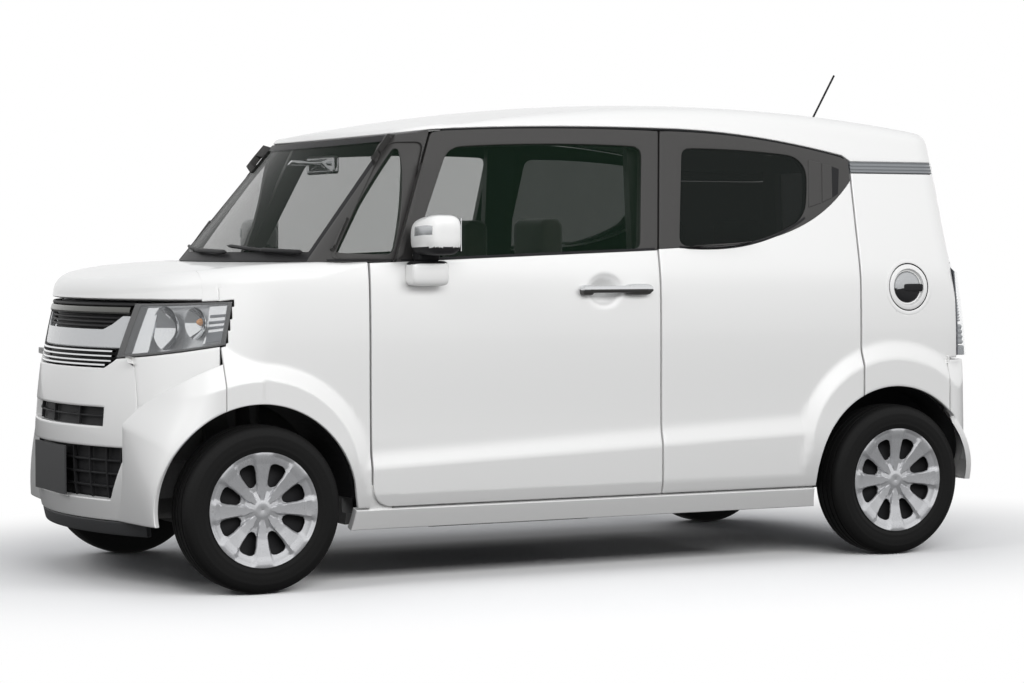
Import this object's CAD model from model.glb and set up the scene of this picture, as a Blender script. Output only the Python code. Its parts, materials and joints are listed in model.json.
# %% [markdown]
# # Kei car
# A white tall-wagon car with an upright cabin stands on a pale studio floor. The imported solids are
# loaded as a fixed frame. Every panel that the eye meets is then drawn again as a surface of two
# parameters, evaluated as whole numpy arrays in metres, so that paint and glass reflect without
# facets. Hidden metal stays as packed.

# %% Frame
import json
import math

import bmesh
import bpy
import numpy as np
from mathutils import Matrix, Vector


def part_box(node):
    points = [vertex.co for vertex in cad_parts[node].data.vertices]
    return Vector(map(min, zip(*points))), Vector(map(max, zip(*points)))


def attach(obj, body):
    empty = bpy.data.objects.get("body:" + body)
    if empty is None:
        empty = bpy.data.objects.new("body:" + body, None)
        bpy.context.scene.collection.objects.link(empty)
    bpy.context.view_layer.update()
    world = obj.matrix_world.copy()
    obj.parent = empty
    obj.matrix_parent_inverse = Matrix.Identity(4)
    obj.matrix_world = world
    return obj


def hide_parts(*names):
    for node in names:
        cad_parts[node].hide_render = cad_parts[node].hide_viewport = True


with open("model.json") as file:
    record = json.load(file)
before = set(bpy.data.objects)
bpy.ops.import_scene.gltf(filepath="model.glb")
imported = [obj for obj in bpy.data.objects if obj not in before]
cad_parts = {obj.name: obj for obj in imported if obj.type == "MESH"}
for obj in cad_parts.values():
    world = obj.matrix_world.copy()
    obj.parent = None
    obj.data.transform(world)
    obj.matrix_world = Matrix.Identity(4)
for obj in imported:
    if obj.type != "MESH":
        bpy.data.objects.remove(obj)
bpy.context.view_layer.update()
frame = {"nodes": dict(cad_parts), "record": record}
nodes = frame["nodes"]
bodies = frame["record"]["behaviour"]["bodies"]
body_of = {node: body for body, members in bodies.items() for node in members}
slot_of = {row["node"]: row["material_slot"] for row in frame["record"]["subparts"]}

# %% [markdown]
# ## Finishes
# Car paint is a pale pearl base under clear lacquer, trim is moulded plastic with a fine grain, and
# tyres are dull rubber. One shared grain group drives small changes of colour and roughness in all
# of them, so that no surface is one flat value. Glass is a thin pane, so it is drawn by alpha and
# gloss and not by refraction.

# %% Finishes
def new_material(name):
    """An empty node material with a Principled shader, and its node tree."""
    material = bpy.data.materials.new(name)
    material.use_nodes = True
    tree = material.node_tree
    shader = next(node for node in tree.nodes if node.type == "BSDF_PRINCIPLED")
    return material, tree, shader


def wire(tree, *links):
    """Links in a node tree, each (from node, its output, to node, its input)."""
    for source, output, target, socket in links:
        tree.links.new(source.outputs[output], target.inputs[socket])


def grain_group():
    """Shared grain: four octaves of noise on Object coordinates, as a factor and as a bump
    normal."""
    group = bpy.data.node_groups.new("moulded_grain", "ShaderNodeTree")
    for name, value in (("Scale", 80.0), ("Strength", 0.1)):
        socket = group.interface.new_socket(name=name, in_out="INPUT",
                                            socket_type="NodeSocketFloat")
        socket.default_value = value
    group.interface.new_socket(name="Factor", in_out="OUTPUT", socket_type="NodeSocketFloat")
    group.interface.new_socket(name="Normal", in_out="OUTPUT", socket_type="NodeSocketVector")
    get, put = group.nodes.new("NodeGroupInput"), group.nodes.new("NodeGroupOutput")
    place = group.nodes.new("ShaderNodeTexCoord")
    noise = group.nodes.new("ShaderNodeTexNoise")
    noise.inputs["Detail"].default_value = 4.0
    bump = group.nodes.new("ShaderNodeBump")
    bump.inputs["Distance"].default_value = 0.001
    wire(group, (place, "Object", noise, "Vector"), (get, "Scale", noise, "Scale"),
         (noise, "Fac", bump, "Height"), (get, "Strength", bump, "Strength"),
         (noise, "Fac", put, "Factor"), (bump, "Normal", put, "Normal"))
    return group


GRAIN = grain_group()


def grained(name, low, high, rough, scale, bump=0.0, metallic=0.0, coat=0.0, sheen=0.0, gloss=0.5):
    """Finish whose colour and roughness drift between two values with the grain."""
    material, tree, shader = new_material(name)
    grain = tree.nodes.new("ShaderNodeGroup")
    grain.node_tree = GRAIN
    grain.inputs["Scale"].default_value = scale
    grain.inputs["Strength"].default_value = bump
    colour = tree.nodes.new("ShaderNodeMix")
    colour.data_type = "RGBA"
    colour.inputs[6].default_value = (*low, 1.0)
    colour.inputs[7].default_value = (*high, 1.0)
    wire(tree, (grain, "Factor", colour, 0), (colour, 2, shader, "Base Color"))
    spread = tree.nodes.new("ShaderNodeMapRange")
    spread.inputs["To Min"].default_value = rough[0]
    spread.inputs["To Max"].default_value = rough[1]
    wire(tree, (grain, "Factor", spread, "Value"), (spread, "Result", shader, "Roughness"))
    if bump > 0:
        wire(tree, (grain, "Normal", shader, "Normal"))
    shader.inputs["Metallic"].default_value = metallic
    shader.inputs["Coat Weight"].default_value = coat
    shader.inputs["Coat Roughness"].default_value = 0.03
    shader.inputs["Sheen Weight"].default_value = sheen
    shader.inputs["Specular IOR Level"].default_value = gloss
    return material


def pane(name, tint, alpha, rough=0.02, gloss=0.2):
    """Thin glass: a glossy pane whose tint covers what is behind it by alpha."""
    material, tree, shader = new_material(name)
    shader.inputs["Base Color"].default_value = (*tint, 1.0)
    shader.inputs["Roughness"].default_value = rough
    shader.inputs["Alpha"].default_value = alpha
    shader.inputs["Specular IOR Level"].default_value = gloss
    return material


FINISH = {
    "paint": grained("pearl_white", (0.80, 0.80, 0.79), (0.83, 0.83, 0.825), (0.28, 0.36), 900.0,
                     metallic=0.3, coat=0.35, gloss=0.3),
    "dark_trim": grained("dark_gloss", (0.030, 0.029, 0.028), (0.042, 0.041, 0.040), (0.32, 0.40),
                         500.0),
    "black_plastic": grained("black_plastic", (0.010, 0.010, 0.011), (0.022, 0.022, 0.023),
                             (0.45, 0.6), 700.0, 0.25, gloss=0.2),
    "grey_plastic": grained("grey_plastic", (0.17, 0.18, 0.19), (0.23, 0.24, 0.25), (0.35, 0.45),
                            600.0, 0.1),
    "clear_glass": pane("pale_glass", (0.007, 0.018, 0.010), 0.26, gloss=0.08),
    "dark_glass": pane("privacy_glass", (0.006, 0.008, 0.007), 0.72, gloss=0.12),
    "lamp_clear": pane("clear_lens", (0.80, 0.82, 0.84), 0.08, gloss=0.4),
    "tyre": grained("tyre_rubber", (0.006, 0.006, 0.006), (0.012, 0.012, 0.012), (0.45, 0.62),
                    400.0, 0.2, gloss=0.16),
    "wheel_silver": grained("silver_cover", (0.52, 0.525, 0.54), (0.60, 0.605, 0.62), (0.24, 0.32),
                            900.0, metallic=0.6, coat=0.2),
    "grille_silver": grained("satin_silver", (0.46, 0.47, 0.48), (0.55, 0.56, 0.57), (0.22, 0.3),
                             900.0, metallic=0.6, coat=0.2),
    "steel": grained("black_steel", (0.03, 0.03, 0.03), (0.06, 0.06, 0.06), (0.4, 0.6), 120.0, 0.2,
                     0.6),
    "cast": grained("cast_metal", (0.12, 0.12, 0.12), (0.22, 0.22, 0.22), (0.5, 0.7), 150.0, 0.4,
                    0.7),
    "floor_paint": grained("underbody", (0.10, 0.10, 0.10), (0.16, 0.16, 0.16), (0.6, 0.8), 90.0,
                           0.3),
    "seat_fabric": grained("dark_woven", (0.030, 0.029, 0.026), (0.060, 0.057, 0.052), (0.8, 0.95),
                           1400.0, 0.5, sheen=0.3),
    "plate": grained("blank_plate", (0.050, 0.051, 0.053), (0.065, 0.066, 0.068), (0.3, 0.4), 300.0,
                     0.05, 0.2),
    "mirror_glass": grained("mirror", (0.75, 0.76, 0.77), (0.8, 0.81, 0.82), (0.03, 0.05), 50.0,
                            metallic=1.0),
    "grey_plastic_dark": grained("lip_grey", (0.035, 0.036, 0.038), (0.05, 0.051, 0.053),
                                 (0.4, 0.5), 600.0, 0.1),
    "satin_dark": grained("satin_dark", (0.10, 0.10, 0.095), (0.14, 0.14, 0.13), (0.2, 0.28), 600.0,
                          metallic=0.7),
    "chrome_soft": grained("lamp_housing", (0.42, 0.43, 0.44), (0.52, 0.53, 0.54), (0.2, 0.3),
                           160.0, metallic=0.8),
    "lamp_grey": grained("lamp_grey", (0.05, 0.055, 0.065), (0.08, 0.085, 0.095), (0.25, 0.35),
                         300.0, metallic=0.4),
    "chrome": grained("bright_chrome", (0.66, 0.67, 0.68), (0.72, 0.73, 0.74), (0.05, 0.1), 200.0,
                      metallic=1.0),
    "amber": grained("amber_bulb", (0.55, 0.20, 0.02), (0.65, 0.26, 0.03), (0.15, 0.25), 300.0,
                     coat=0.5),
}
for node, obj in nodes.items():
    obj.data.materials.clear()
    obj.data.materials.append(FINISH[slot_of[node]])
print("finishes:", len(FINISH))

# %% [markdown]
# ## Studio
# A long lamp on the near side, a weaker one on the far side and one at the nose give soft shapes on
# white paint. The paint reflects none of them. Camera, glossy and transmission rays see a plain
# white world, and the floor is bright enough to melt into it, so that only the contact shadow
# shows.

# %% Studio
def studio_world():
    """World of one pale grey for light, and of plain white for camera, glossy and transmission
    rays."""
    world = bpy.data.worlds.new("studio")
    world.use_nodes = True
    tree = world.node_tree
    tree.nodes.clear()
    rays = tree.nodes.new("ShaderNodeLightPath")
    seen = tree.nodes.new("ShaderNodeMath")
    seen.operation = "MAXIMUM"
    shiny = tree.nodes.new("ShaderNodeMath")
    shiny.operation = "MAXIMUM"
    light, white = tree.nodes.new("ShaderNodeBackground"), tree.nodes.new("ShaderNodeBackground")
    light.inputs["Color"].default_value = (0.93, 0.95, 1.0, 1.0)
    light.inputs["Strength"].default_value = WORLD_LIGHT
    white.inputs["Color"].default_value = (1.0, 1.0, 1.0, 1.0)
    white.inputs["Strength"].default_value = 1.0
    mix, out = tree.nodes.new("ShaderNodeMixShader"), tree.nodes.new("ShaderNodeOutputWorld")
    wire(tree, (rays, "Is Camera Ray", seen, 0), (rays, "Is Transmission Ray", shiny, 0),
         (rays, "Is Glossy Ray", shiny, 1), (shiny, 0, seen, 1), (seen, 0, mix, 0),
         (light, 0, mix, 1), (white, 0, mix, 2), (mix, 0, out, "Surface"))
    return world


LAMPS = [
    # name, place, size along and across, power, aim
    ("near_side", (0.1, 6.0, 3.6), (7.5, 2.0), 375.0, (0.0, 0.7, 0.7)),
    ("far_side", (-0.6, -6.0, 3.2), (7.0, 2.0), 80.0, (0.0, -0.7, 0.7)),
    ("nose", (6.0, 1.8, 4.0), (2.5, 2.5), 110.0, (1.5, 0.0, 0.7)),
]
WORLD_LIGHT, FLOOR_DIM, FLOOR_FADE, FLOOR_HALF = 0.33, 0.10, (1.2, 2.6), 40
EYE_AT, YAW, PITCH, LENS_MM, SENSOR_MM = (4.4669, 8.8390, 1.1399), 242.736, -2.027, 93.84, 36.0


def floor_finish():
    """Pale floor that takes the shadow near the car and goes over to plain white light further out.
    For bounced light and in reflections it is a dim grey, so that the car's lower side stays darker
    than its upper side."""
    material = grained("studio_floor", (0.93, 0.93, 0.93), (0.95, 0.95, 0.95), (0.7, 0.8), 2.0)
    tree = material.node_tree
    shader = next(node for node in tree.nodes if node.type == "BSDF_PRINCIPLED")
    out = next(node for node in tree.nodes if node.type == "OUTPUT_MATERIAL")
    shader.inputs["Specular IOR Level"].default_value = 0.0
    place, squeeze = tree.nodes.new("ShaderNodeTexCoord"), tree.nodes.new("ShaderNodeMapping")
    squeeze.inputs["Scale"].default_value = (0.75, 1.1, 1.0)
    length = tree.nodes.new("ShaderNodeVectorMath")
    length.operation = "LENGTH"
    fade = tree.nodes.new("ShaderNodeMapRange")
    fade.interpolation_type = "SMOOTHSTEP"
    fade.inputs["From Min"].default_value, fade.inputs["From Max"].default_value = FLOOR_FADE
    white, mix = tree.nodes.new("ShaderNodeEmission"), tree.nodes.new("ShaderNodeMixShader")
    rays, choice = tree.nodes.new("ShaderNodeLightPath"), tree.nodes.new("ShaderNodeMixShader")
    dim = tree.nodes.new("ShaderNodeEmission")
    dim.inputs["Strength"].default_value = FLOOR_DIM
    bounced = tree.nodes.new("ShaderNodeMath")
    bounced.operation = "MAXIMUM"
    wire(tree, (rays, "Is Diffuse Ray", bounced, 0), (rays, "Is Glossy Ray", bounced, 1),
         (bounced, 0, choice, 0), (mix, 0, choice, 1), (dim, 0, choice, 2),
         (place, "Object", squeeze, "Vector"), (squeeze, "Vector", length, 0),
         (length, "Value", fade, "Value"), (fade, "Result", mix, 0), (shader, 0, mix, 1),
         (white, 0, mix, 2), (choice, 0, out, "Surface"))
    return material


def studio():
    """Floor, lamps, world and the camera fitted to the photograph."""
    scene = bpy.context.scene
    scene.world = studio_world()
    floor = bpy.data.meshes.new("floor")
    corners = [(x * FLOOR_HALF, y * FLOOR_HALF, 0) for x, y in ((-1, -1), (1, -1), (1, 1), (-1, 1))]
    floor.from_pydata(corners, [], [(0, 1, 2, 3)])
    floor.materials.append(floor_finish())
    ground = bpy.data.objects.new("floor", floor)
    scene.collection.objects.link(ground)
    for name, place, size, power, aim in LAMPS:
        data = bpy.data.lights.new(name, "AREA")
        data.shape = "RECTANGLE"
        data.size, data.size_y = size
        data.energy = power
        lamp = bpy.data.objects.new(name, data)
        lamp.visible_glossy = False
        lamp.location = place
        lamp.rotation_euler = (Vector(aim) - Vector(place)).to_track_quat("-Z", "Y").to_euler()
        scene.collection.objects.link(lamp)
    camera = bpy.data.cameras.new("camera")
    camera.sensor_width = SENSOR_MM
    camera.lens = LENS_MM
    eye = bpy.data.objects.new("camera", camera)
    eye.location = EYE_AT
    yaw, pitch = math.radians(YAW), math.radians(PITCH)
    eye.rotation_euler = (math.pi / 2 + pitch, 0.0, yaw - math.pi / 2)
    scene.collection.objects.link(eye)
    scene.camera = eye
    scene.view_settings.view_transform = "Standard"
    return eye


eye = studio()
print("studio: camera at", [round(v, 3) for v in eye.location])

# %% [markdown]
# ## The body's own outline
# Seen from above, the body at any height is a bowed nose, two tangent corner arcs, straight sides
# and a slightly bowed tail. Six numbers describe it at each of five heights, and a spline joins
# them. The glass-house above the belt uses the same outline with straight lines between two
# heights. All outer panels read their places from these functions.

# %% Outline functions
LOWER_ROWS = np.array([
    # z, half width, nose x, bow radius, bow half width, tail x, tail corner radius
    (0.190, 0.672, 1.6640, 1.05, 0.455, -1.6620, 0.110),
    (0.320, 0.709, 1.6900, 1.05, 0.475, -1.6900, 0.110),
    (0.520, 0.716, 1.6955, 1.05, 0.480, -1.6965, 0.105),
    (0.900, 0.713, 1.6450, 1.05, 0.480, -1.6760, 0.095),
    (1.092, 0.706, 1.6000, 1.05, 0.475, -1.6520, 0.090),
])
CABIN_ROWS = np.array([
    (1.035, 0.710, 1.1555, 1.80, 0.612, -1.6460, 0.095),
    (1.690, 0.580, 0.6005, 1.65, 0.500, -1.5790, 0.095),
])
TAIL_BOW = 0.025


def spline_bend(knots, values):
    """Second derivatives of the natural cubic spline through rows of values, from one tridiagonal
    solve."""
    step = np.diff(knots)
    inner = np.arange(1, len(knots) - 1)
    system = np.eye(len(knots))
    system[inner, inner - 1] = step[:-1]
    system[inner, inner] = 2 * (step[:-1] + step[1:])
    system[inner, inner + 1] = step[1:]
    load = np.zeros_like(values)
    load[1:-1] = 6 * np.diff(np.diff(values, axis=0) / step[:, None], axis=0)
    return np.linalg.solve(system, load)


LOWER_BEND = spline_bend(LOWER_ROWS[:, 0], LOWER_ROWS[:, 1:])


def lower_row(z):
    """Outline numbers of the lower body at heights z, on the natural spline through its rows."""
    z = np.asarray(z, float)
    knots, values = LOWER_ROWS[:, 0], LOWER_ROWS[:, 1:]
    at = np.clip(np.searchsorted(knots, z) - 1, 0, len(knots) - 2)
    step = knots[at + 1] - knots[at]
    a = ((knots[at + 1] - z) / step)[..., None]
    b = 1 - a
    sway = ((a ** 3 - a) * LOWER_BEND[at] + (b ** 3 - b)
            * LOWER_BEND[at + 1]) * step[..., None] ** 2 / 6
    return a * values[at] + b * values[at + 1] + sway


def cabin_row(z):
    """Outline numbers of the glass-house at heights z, on straight lines between its two rows."""
    base, top = CABIN_ROWS
    part = ((np.asarray(z, float) - base[0]) / (top[0] - base[0]))[..., None]
    return base[1:] + (top[1:] - base[1:]) * part


def corner_arcs(row):
    """Bow turn, bow centre x, corner radius and corner centre x that make the outline's arcs
    tangent."""
    half, nose, bow, bow_y = (row[..., i] for i in range(4))
    turn = np.arcsin(bow_y / bow)
    corner_r = (half - bow_y) / (1 - np.sin(turn))
    centre = nose - bow
    return turn, centre, corner_r, centre + (bow - corner_r) * np.cos(turn)


def nose_point(angle, row):
    """Point of the nose whose outward direction turns by `angle` from straight ahead: bow arc, then
    corner arc."""
    half, bow = row[..., 0], row[..., 2]
    turn, centre, corner_r, corner_x = corner_arcs(row)
    size = np.abs(angle)
    on_bow = size < turn
    x = np.where(on_bow, centre + bow * np.cos(size), corner_x + corner_r * np.cos(size))
    y = np.where(on_bow, bow * np.sin(size), half - corner_r + corner_r * np.sin(size))
    return x, np.copysign(y, angle)


def nose_angle_at_x(x, row):
    """Outward direction at the place on the corner arc whose x is given: the inverse of nose_point
    there."""
    corner_r, corner_x = corner_arcs(row)[2:]
    return np.arccos(np.clip((x - corner_x) / corner_r, 0, 1))


def nose_angle_at_y(y, row):
    """Outward direction at the place on the nose whose y is given, on the bow or on the corner
    arc."""
    half, bow = row[..., 0], row[..., 2]
    turn, _, corner_r, _ = corner_arcs(row)
    on_corner = np.arcsin(np.clip((y - half + corner_r) / corner_r, -1, 1))
    return np.where(y < bow * np.sin(turn), np.arcsin(np.clip(y / bow, -1, 1)), on_corner)


def half_width(x, row):
    """Half width at x: corner arc ahead of the corner centre, straight side, tail corner arc
    behind."""
    half, tail, tail_r = row[..., 0], row[..., 4], row[..., 5]
    corner_r, corner_x = corner_arcs(row)[2:]
    fore = np.clip(x - corner_x, 0, corner_r)
    aft = np.clip(tail + TAIL_BOW + tail_r - x, 0, tail_r)
    return half - corner_r + np.sqrt(corner_r ** 2
                                     - fore ** 2) - tail_r + np.sqrt(tail_r ** 2 - aft ** 2)


def tail_at(y, row):
    """Tail x at y: a shallow bow between the corners, and the corner arc beyond."""
    half, tail, tail_r = row[..., 0], row[..., 4], row[..., 5]
    flat = half - tail_r
    side = np.clip(np.abs(y) - flat, 0, tail_r)
    bow = TAIL_BOW * np.clip(np.abs(y) / flat, 0, 1) ** 2
    return tail + bow + tail_r - np.sqrt(tail_r ** 2 - side ** 2)


def soft_least(a, b, soft):
    """Smooth minimum: the smaller of two surfaces, with the crease rounded over about `soft`."""
    return -soft * np.logaddexp(-a / soft, -b / soft)


def soft_most(a, b, soft):
    """Smooth maximum of two surfaces."""
    return soft * np.logaddexp(a / soft, b / soft)


ARCH_R, ARCH_Z = 0.345, 0.281
FRONT_ARCH_X, REAR_ARCH_X = 1.2115, -1.3085
FLARES = ((FRONT_ARCH_X, 0.055, 0.440), (REAR_ARCH_X, 0.058, 0.465))
PROUD, FLARE_TOP = 0.0215, 0.95
FLARE_IN, FLARE_RISE, FLARE_RUN = 0.706, 0.0315, 0.075
LEDGE_Z, LEDGE_SLOPE, LEDGE_DROP = 0.552, 0.038, 0.070
LEDGE_IN, LEDGE_RISE, LEDGE_OUT = 0.712, 0.017, 0.729
BELT_SOFT, CREASE_SOFT = 0.003, 0.0012


def flare_width(x):
    """Width of the front flare: full to x 1.2, then square-shouldered down to the nose, (1 - t^4)
    to the power 0.35."""
    t = np.clip((x - 1.2) / 0.4, 0, 1)
    return 0.50 + 0.2375 * (1 - t ** 4) ** 0.35


def flank(x, z, cabin_to=9.0):
    """Side surface y(x, z): lower body under the glass-house line, pushed out by the sill ledge and
    the arch flares. The glass-house is read no further forward than `cabin_to`."""
    x, z = np.broadcast_arrays(np.asarray(x, float), np.asarray(z, float))
    plain = half_width(x, lower_row(np.clip(z, *LOWER_ROWS[[0, -1], 0])))
    above = half_width(np.minimum(x, cabin_to), cabin_row(z))
    y = np.where(z > FLARE_TOP, soft_least(plain, above, BELT_SOFT), plain)
    fade = np.interp(x, (1.158, 1.331, 1.45, 1.64), (1.0, 0.535, 0.247, 0.0))
    limit = np.maximum(plain + PROUD * fade, np.where(x > 1.2, flare_width(x), 0.0))
    line = LEDGE_Z - LEDGE_SLOPE * (x - REAR_ARCH_X)
    ledge = np.minimum(np.minimum(LEDGE_IN + (line - z) / LEDGE_DROP * LEDGE_RISE, LEDGE_OUT),
                       limit)
    ledge = np.where((x > REAR_ARCH_X) & (x < FRONT_ARCH_X), ledge, 0.0)
    y = soft_most(y, ledge, CREASE_SOFT)
    for arch_x, lift, flare_r in FLARES:
        reach = flare_r - np.hypot(x - arch_x, z - ARCH_Z - lift)
        flare = np.minimum(FLARE_IN + reach / FLARE_RUN * FLARE_RISE, limit)
        y = soft_most(y, np.where(z < FLARE_TOP, flare, 0.0), CREASE_SOFT)
    return y


print("outline: half width at the belt", round(float(flank(0.0, 1.0)), 4))

# %% [markdown]
# ## Grids to meshes
# A pressed panel has a face, a small rolled edge and a folded-in hem, and its thickness shows in
# every shut line. `sheet` makes a grid into faces, `slab` finds the free edges with numpy, rolls
# them over a small radius, carries them in to the panel's depth and closes the back.

# %% Grid tools
def sheet(points, keep=None, flip=False):
    """Vertices and quads of a grid (rows, columns, 3). `keep` masks faces; `flip` turns them
    over."""
    rows, columns = points.shape[:2]
    index = np.arange(rows * columns).reshape(rows, columns)
    quads = np.stack([index[:-1, :-1], index[:-1, 1:], index[1:, 1:], index[1:, :-1]], axis=-1)
    quads = quads[np.ones(quads.shape[:2], bool) if keep is None else keep]
    return points.reshape(-1, 3), quads[:, ::-1] if flip else quads


def joined(*meshes):
    """Several (vertices, quads) as one."""
    shift = np.cumsum([0] + [len(mesh[0]) for mesh in meshes[:-1]])
    return (np.concatenate([mesh[0] for mesh in meshes]),
            np.concatenate([mesh[1] + start for mesh, start in zip(meshes, shift)]))


def welded(mesh, grain=1e-5):
    """Merge vertices that share a place, and drop faces that this closes up."""
    points, quads = mesh
    used, quads = np.unique(quads, return_inverse=True)
    points = points[used]
    first, same = np.unique(np.round(points / grain).astype(np.int64), axis=0, return_index=True,
                            return_inverse=True)[1:]
    quads = same.ravel()[quads.reshape(-1, 4)]
    corners = np.sort(quads, axis=1)
    return points[first], quads[(np.diff(corners, axis=1) == 0).sum(axis=1) < 2]


def mirrored(mesh):
    """The same piece on the car's other side."""
    return mesh[0] * (1, -1, 1), mesh[1][:, ::-1]


def both(mesh):
    """A piece of the left side together with its mirror image."""
    return joined(mesh, mirrored(mesh))


def points_at(*parts):
    """Coordinates, spread to one shape, as points."""
    return np.stack(np.broadcast_arrays(*parts), axis=-1)


def lattice(rows, columns):
    """Two parameters over a grid, each given as (start, end, count)."""
    return np.meshgrid(np.linspace(*rows), np.linspace(*columns), indexing="ij")


def graded(marks, counts):
    """Even steps from mark to mark, each stretch with its own count, and the last mark itself."""
    stretches = zip(marks, marks[1:], counts)
    runs = [a + (b - a) * np.linspace(0, 1, n, endpoint=False) for a, b, n in stretches]
    return np.concatenate(runs + [np.atleast_1d(marks[-1])], axis=-1)


def between(value, span):
    """Mask of values inside a span."""
    return (value > span[0]) & (value < span[-1])


def facing(mesh, axis, sign=1):
    """Sheet turned over where needed, so that on the whole it looks along an axis, or against
    it."""
    looks = sign * np.mean(vertex_normals(*mesh)[:, axis])
    return mesh if looks > 0 else (mesh[0], mesh[1][:, ::-1])


def vertex_normals(points, quads):
    """Unit normals at the vertices: sum of the diagonals' cross products of the faces round
    each."""
    a, b, c, d = (points[quads[:, i]] for i in range(4))
    face = np.cross(c - a, d - b)
    normal = np.zeros_like(points)
    np.add.at(normal, quads.ravel(), np.repeat(face, 4, axis=0))
    return normal / np.maximum(np.linalg.norm(normal, axis=1, keepdims=True), 1e-12)


def free_edges(quads):
    """Directed edges that belong to one face only."""
    edges = np.concatenate([quads[:, [i, (i + 1) % 4]] for i in range(4)])
    edges = edges[edges[:, 0] != edges[:, 1]]
    index, count = np.unique(np.sort(edges, axis=1), axis=0, return_index=True,
                             return_counts=True)[1:]
    return edges[index[count == 1]]


def slab(mesh, depth, roll=0.003, back=True, steps=3):
    """Panel with a rolled rim: free edges step back by `roll`, turn over a quarter circle of that
    radius, and run in to `depth` along the inward normal, where a back sheet closes the panel."""
    points, quads = welded(mesh)
    normal = vertex_normals(points, quads)
    edges = free_edges(quads)
    out = np.zeros_like(points)
    push = np.cross(points[edges[:, 1]] - points[edges[:, 0]], normal[edges].mean(axis=1))
    push /= np.maximum(np.linalg.norm(push, axis=1, keepdims=True), 1e-12)
    np.add.at(out, edges.ravel(), np.repeat(push, 2, axis=0))
    out /= np.maximum(np.linalg.norm(out, axis=1, keepdims=True), 1e-12)
    rim = np.unique(edges)
    front = points.copy()
    front[rim] -= out[rim] * roll
    place = np.full(len(points), -1)
    place[rim] = np.arange(len(rim))
    turn = np.linspace(0, np.pi / 2, steps + 1)[1:, None, None]
    rings = front[rim] + roll * (np.sin(turn) * out[rim] - (1 - np.cos(turn)) * normal[rim])
    rings = np.concatenate([front[rim][None], rings, (points[rim] - depth * normal[rim])[None]])
    a, b = place[edges].T
    level = np.arange(len(rings) - 1)[:, None] * len(rim)
    strip = np.stack([b + level, a + level, a + level + len(rim), b + level + len(rim)],
                     axis=-1).reshape(-1, 4)
    meshes = [(front, quads), (rings.reshape(-1, 3), strip)]
    if back:
        meshes.append((points - depth * normal, quads[:, ::-1]))
    return joined(*meshes)


def piece(name, mesh, finish, body, stands_for=(), sharp=32.0, second=None, in_second=None):
    """A finished piece: welded mesh, smooth but for sharp folds, on its body, standing for its
    nodes."""
    points, quads = welded(mesh)
    data = bpy.data.meshes.new(name)
    faces = [[v for i, v in enumerate(q) if v != q[i - 1]] for q in quads.tolist()]
    data.from_pydata(points.tolist(), [], faces)
    data.validate()
    data.shade_smooth()
    data.set_sharp_from_angle(angle=math.radians(sharp))
    data.materials.append(FINISH[finish])
    if second:
        data.materials.append(FINISH[second])
        centre = np.empty(len(data.polygons) * 3)
        data.polygons.foreach_get("center", centre)
        data.polygons.foreach_set("material_index",
                                  in_second(centre.reshape(-1, 3)).astype(np.int32))
    obj = bpy.data.objects.new(name, data)
    bpy.context.scene.collection.objects.link(obj)
    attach(obj, body)
    if stands_for:
        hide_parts(*stands_for)
        drawn.update(stands_for)
    return obj


drawn = set()


def breaks(points):
    """Fractions of length at which a broken line turns."""
    sides = np.diff(np.asarray(points, float), axis=0)
    run = np.concatenate([[0], np.cumsum(np.linalg.norm(sides, axis=1))])
    return run / run[-1]


def along(points, part):
    """Places on a broken line at fractions of its length."""
    at = breaks(points)
    return np.stack([np.interp(part, at, line) for line in np.asarray(points, float).T], axis=-1)


def bowed(start, middle, end, count=17):
    """Points on the parabola through three places: Lagrange weights of the fraction along it."""
    t = np.linspace(0, 1, count)[:, None]
    start, middle, end = (np.asarray(p, float) for p in (start, middle, end))
    return start * (2 * (t - 0.5)
                    * (t - 1)) + middle * (4 * t * (1 - t)) + end * (2 * t * (t - 0.5))


def steps_between(count, *extra):
    """Even fractions from 0 to 1 together with the given ones, close pairs merged."""
    return np.unique(np.concatenate([np.linspace(0, 1, count), *extra]).round(4))


def coons(bottom, top, rear, front, columns, rows):
    """Flat patch (x, z) between four edges: the two ruled sheets added, less the sheet through the
    corners."""
    u = steps_between(columns, breaks(bottom), breaks(top))
    v = steps_between(rows, breaks(rear), breaks(front))
    b, t = along(bottom, u)[None], along(top, u)[None]
    r, f = along(rear, v)[:, None], along(front, v)[:, None]
    u, v = u[None, :, None], v[:, None, None]
    ruled = (1 - v) * b + v * t + (1 - u) * r + u * f
    return ruled - ((1 - u) * ((1 - v) * b[:, :1] + v * t[:, :1]) + u
                    * ((1 - v) * b[:, -1:] + v * t[:, -1:]))


def patch(low_rear, low_front, top_rear, top_front, columns, rows):
    """Flat patch (x, z) between four corners with straight edges."""
    return coons([low_rear, low_front], [top_rear, top_front], [low_rear, top_rear],
                 [low_front, top_front], columns, rows)


def ringed(grid):
    """Grid whose first column is set again at its end, which closes it on itself."""
    return np.concatenate([grid, grid[:, :1]], axis=1)


def on_flank(flat, inset=0.0):
    """Lift a flat (x, z) grid onto the car's left side."""
    x, z = flat[..., 0], flat[..., 1]
    return points_at(x, flank(x, z) - inset, z)


def merged_copy(node, name, apart=2e-6):
    """Object with a copy of a node's own triangles, in which vertices no further apart are one."""
    data = nodes[node].data.copy()
    data.name = name
    work = bmesh.new()
    work.from_mesh(data)
    bmesh.ops.remove_doubles(work, verts=work.verts, dist=apart)
    work.to_mesh(data)
    work.free()
    obj = bpy.data.objects.new(name, data)
    bpy.context.scene.collection.objects.link(obj)
    return obj


def smooth_copy(node, sharp=24.0):
    """A node's own triangles merged and shaded smooth, for plain parts that the way above doesn't
    need."""
    obj = merged_copy(node, "smooth_" + node)
    obj.data.shade_smooth()
    obj.data.set_sharp_from_angle(angle=math.radians(sharp))
    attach(obj, body_of[node])
    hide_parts(node)
    return obj


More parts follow.
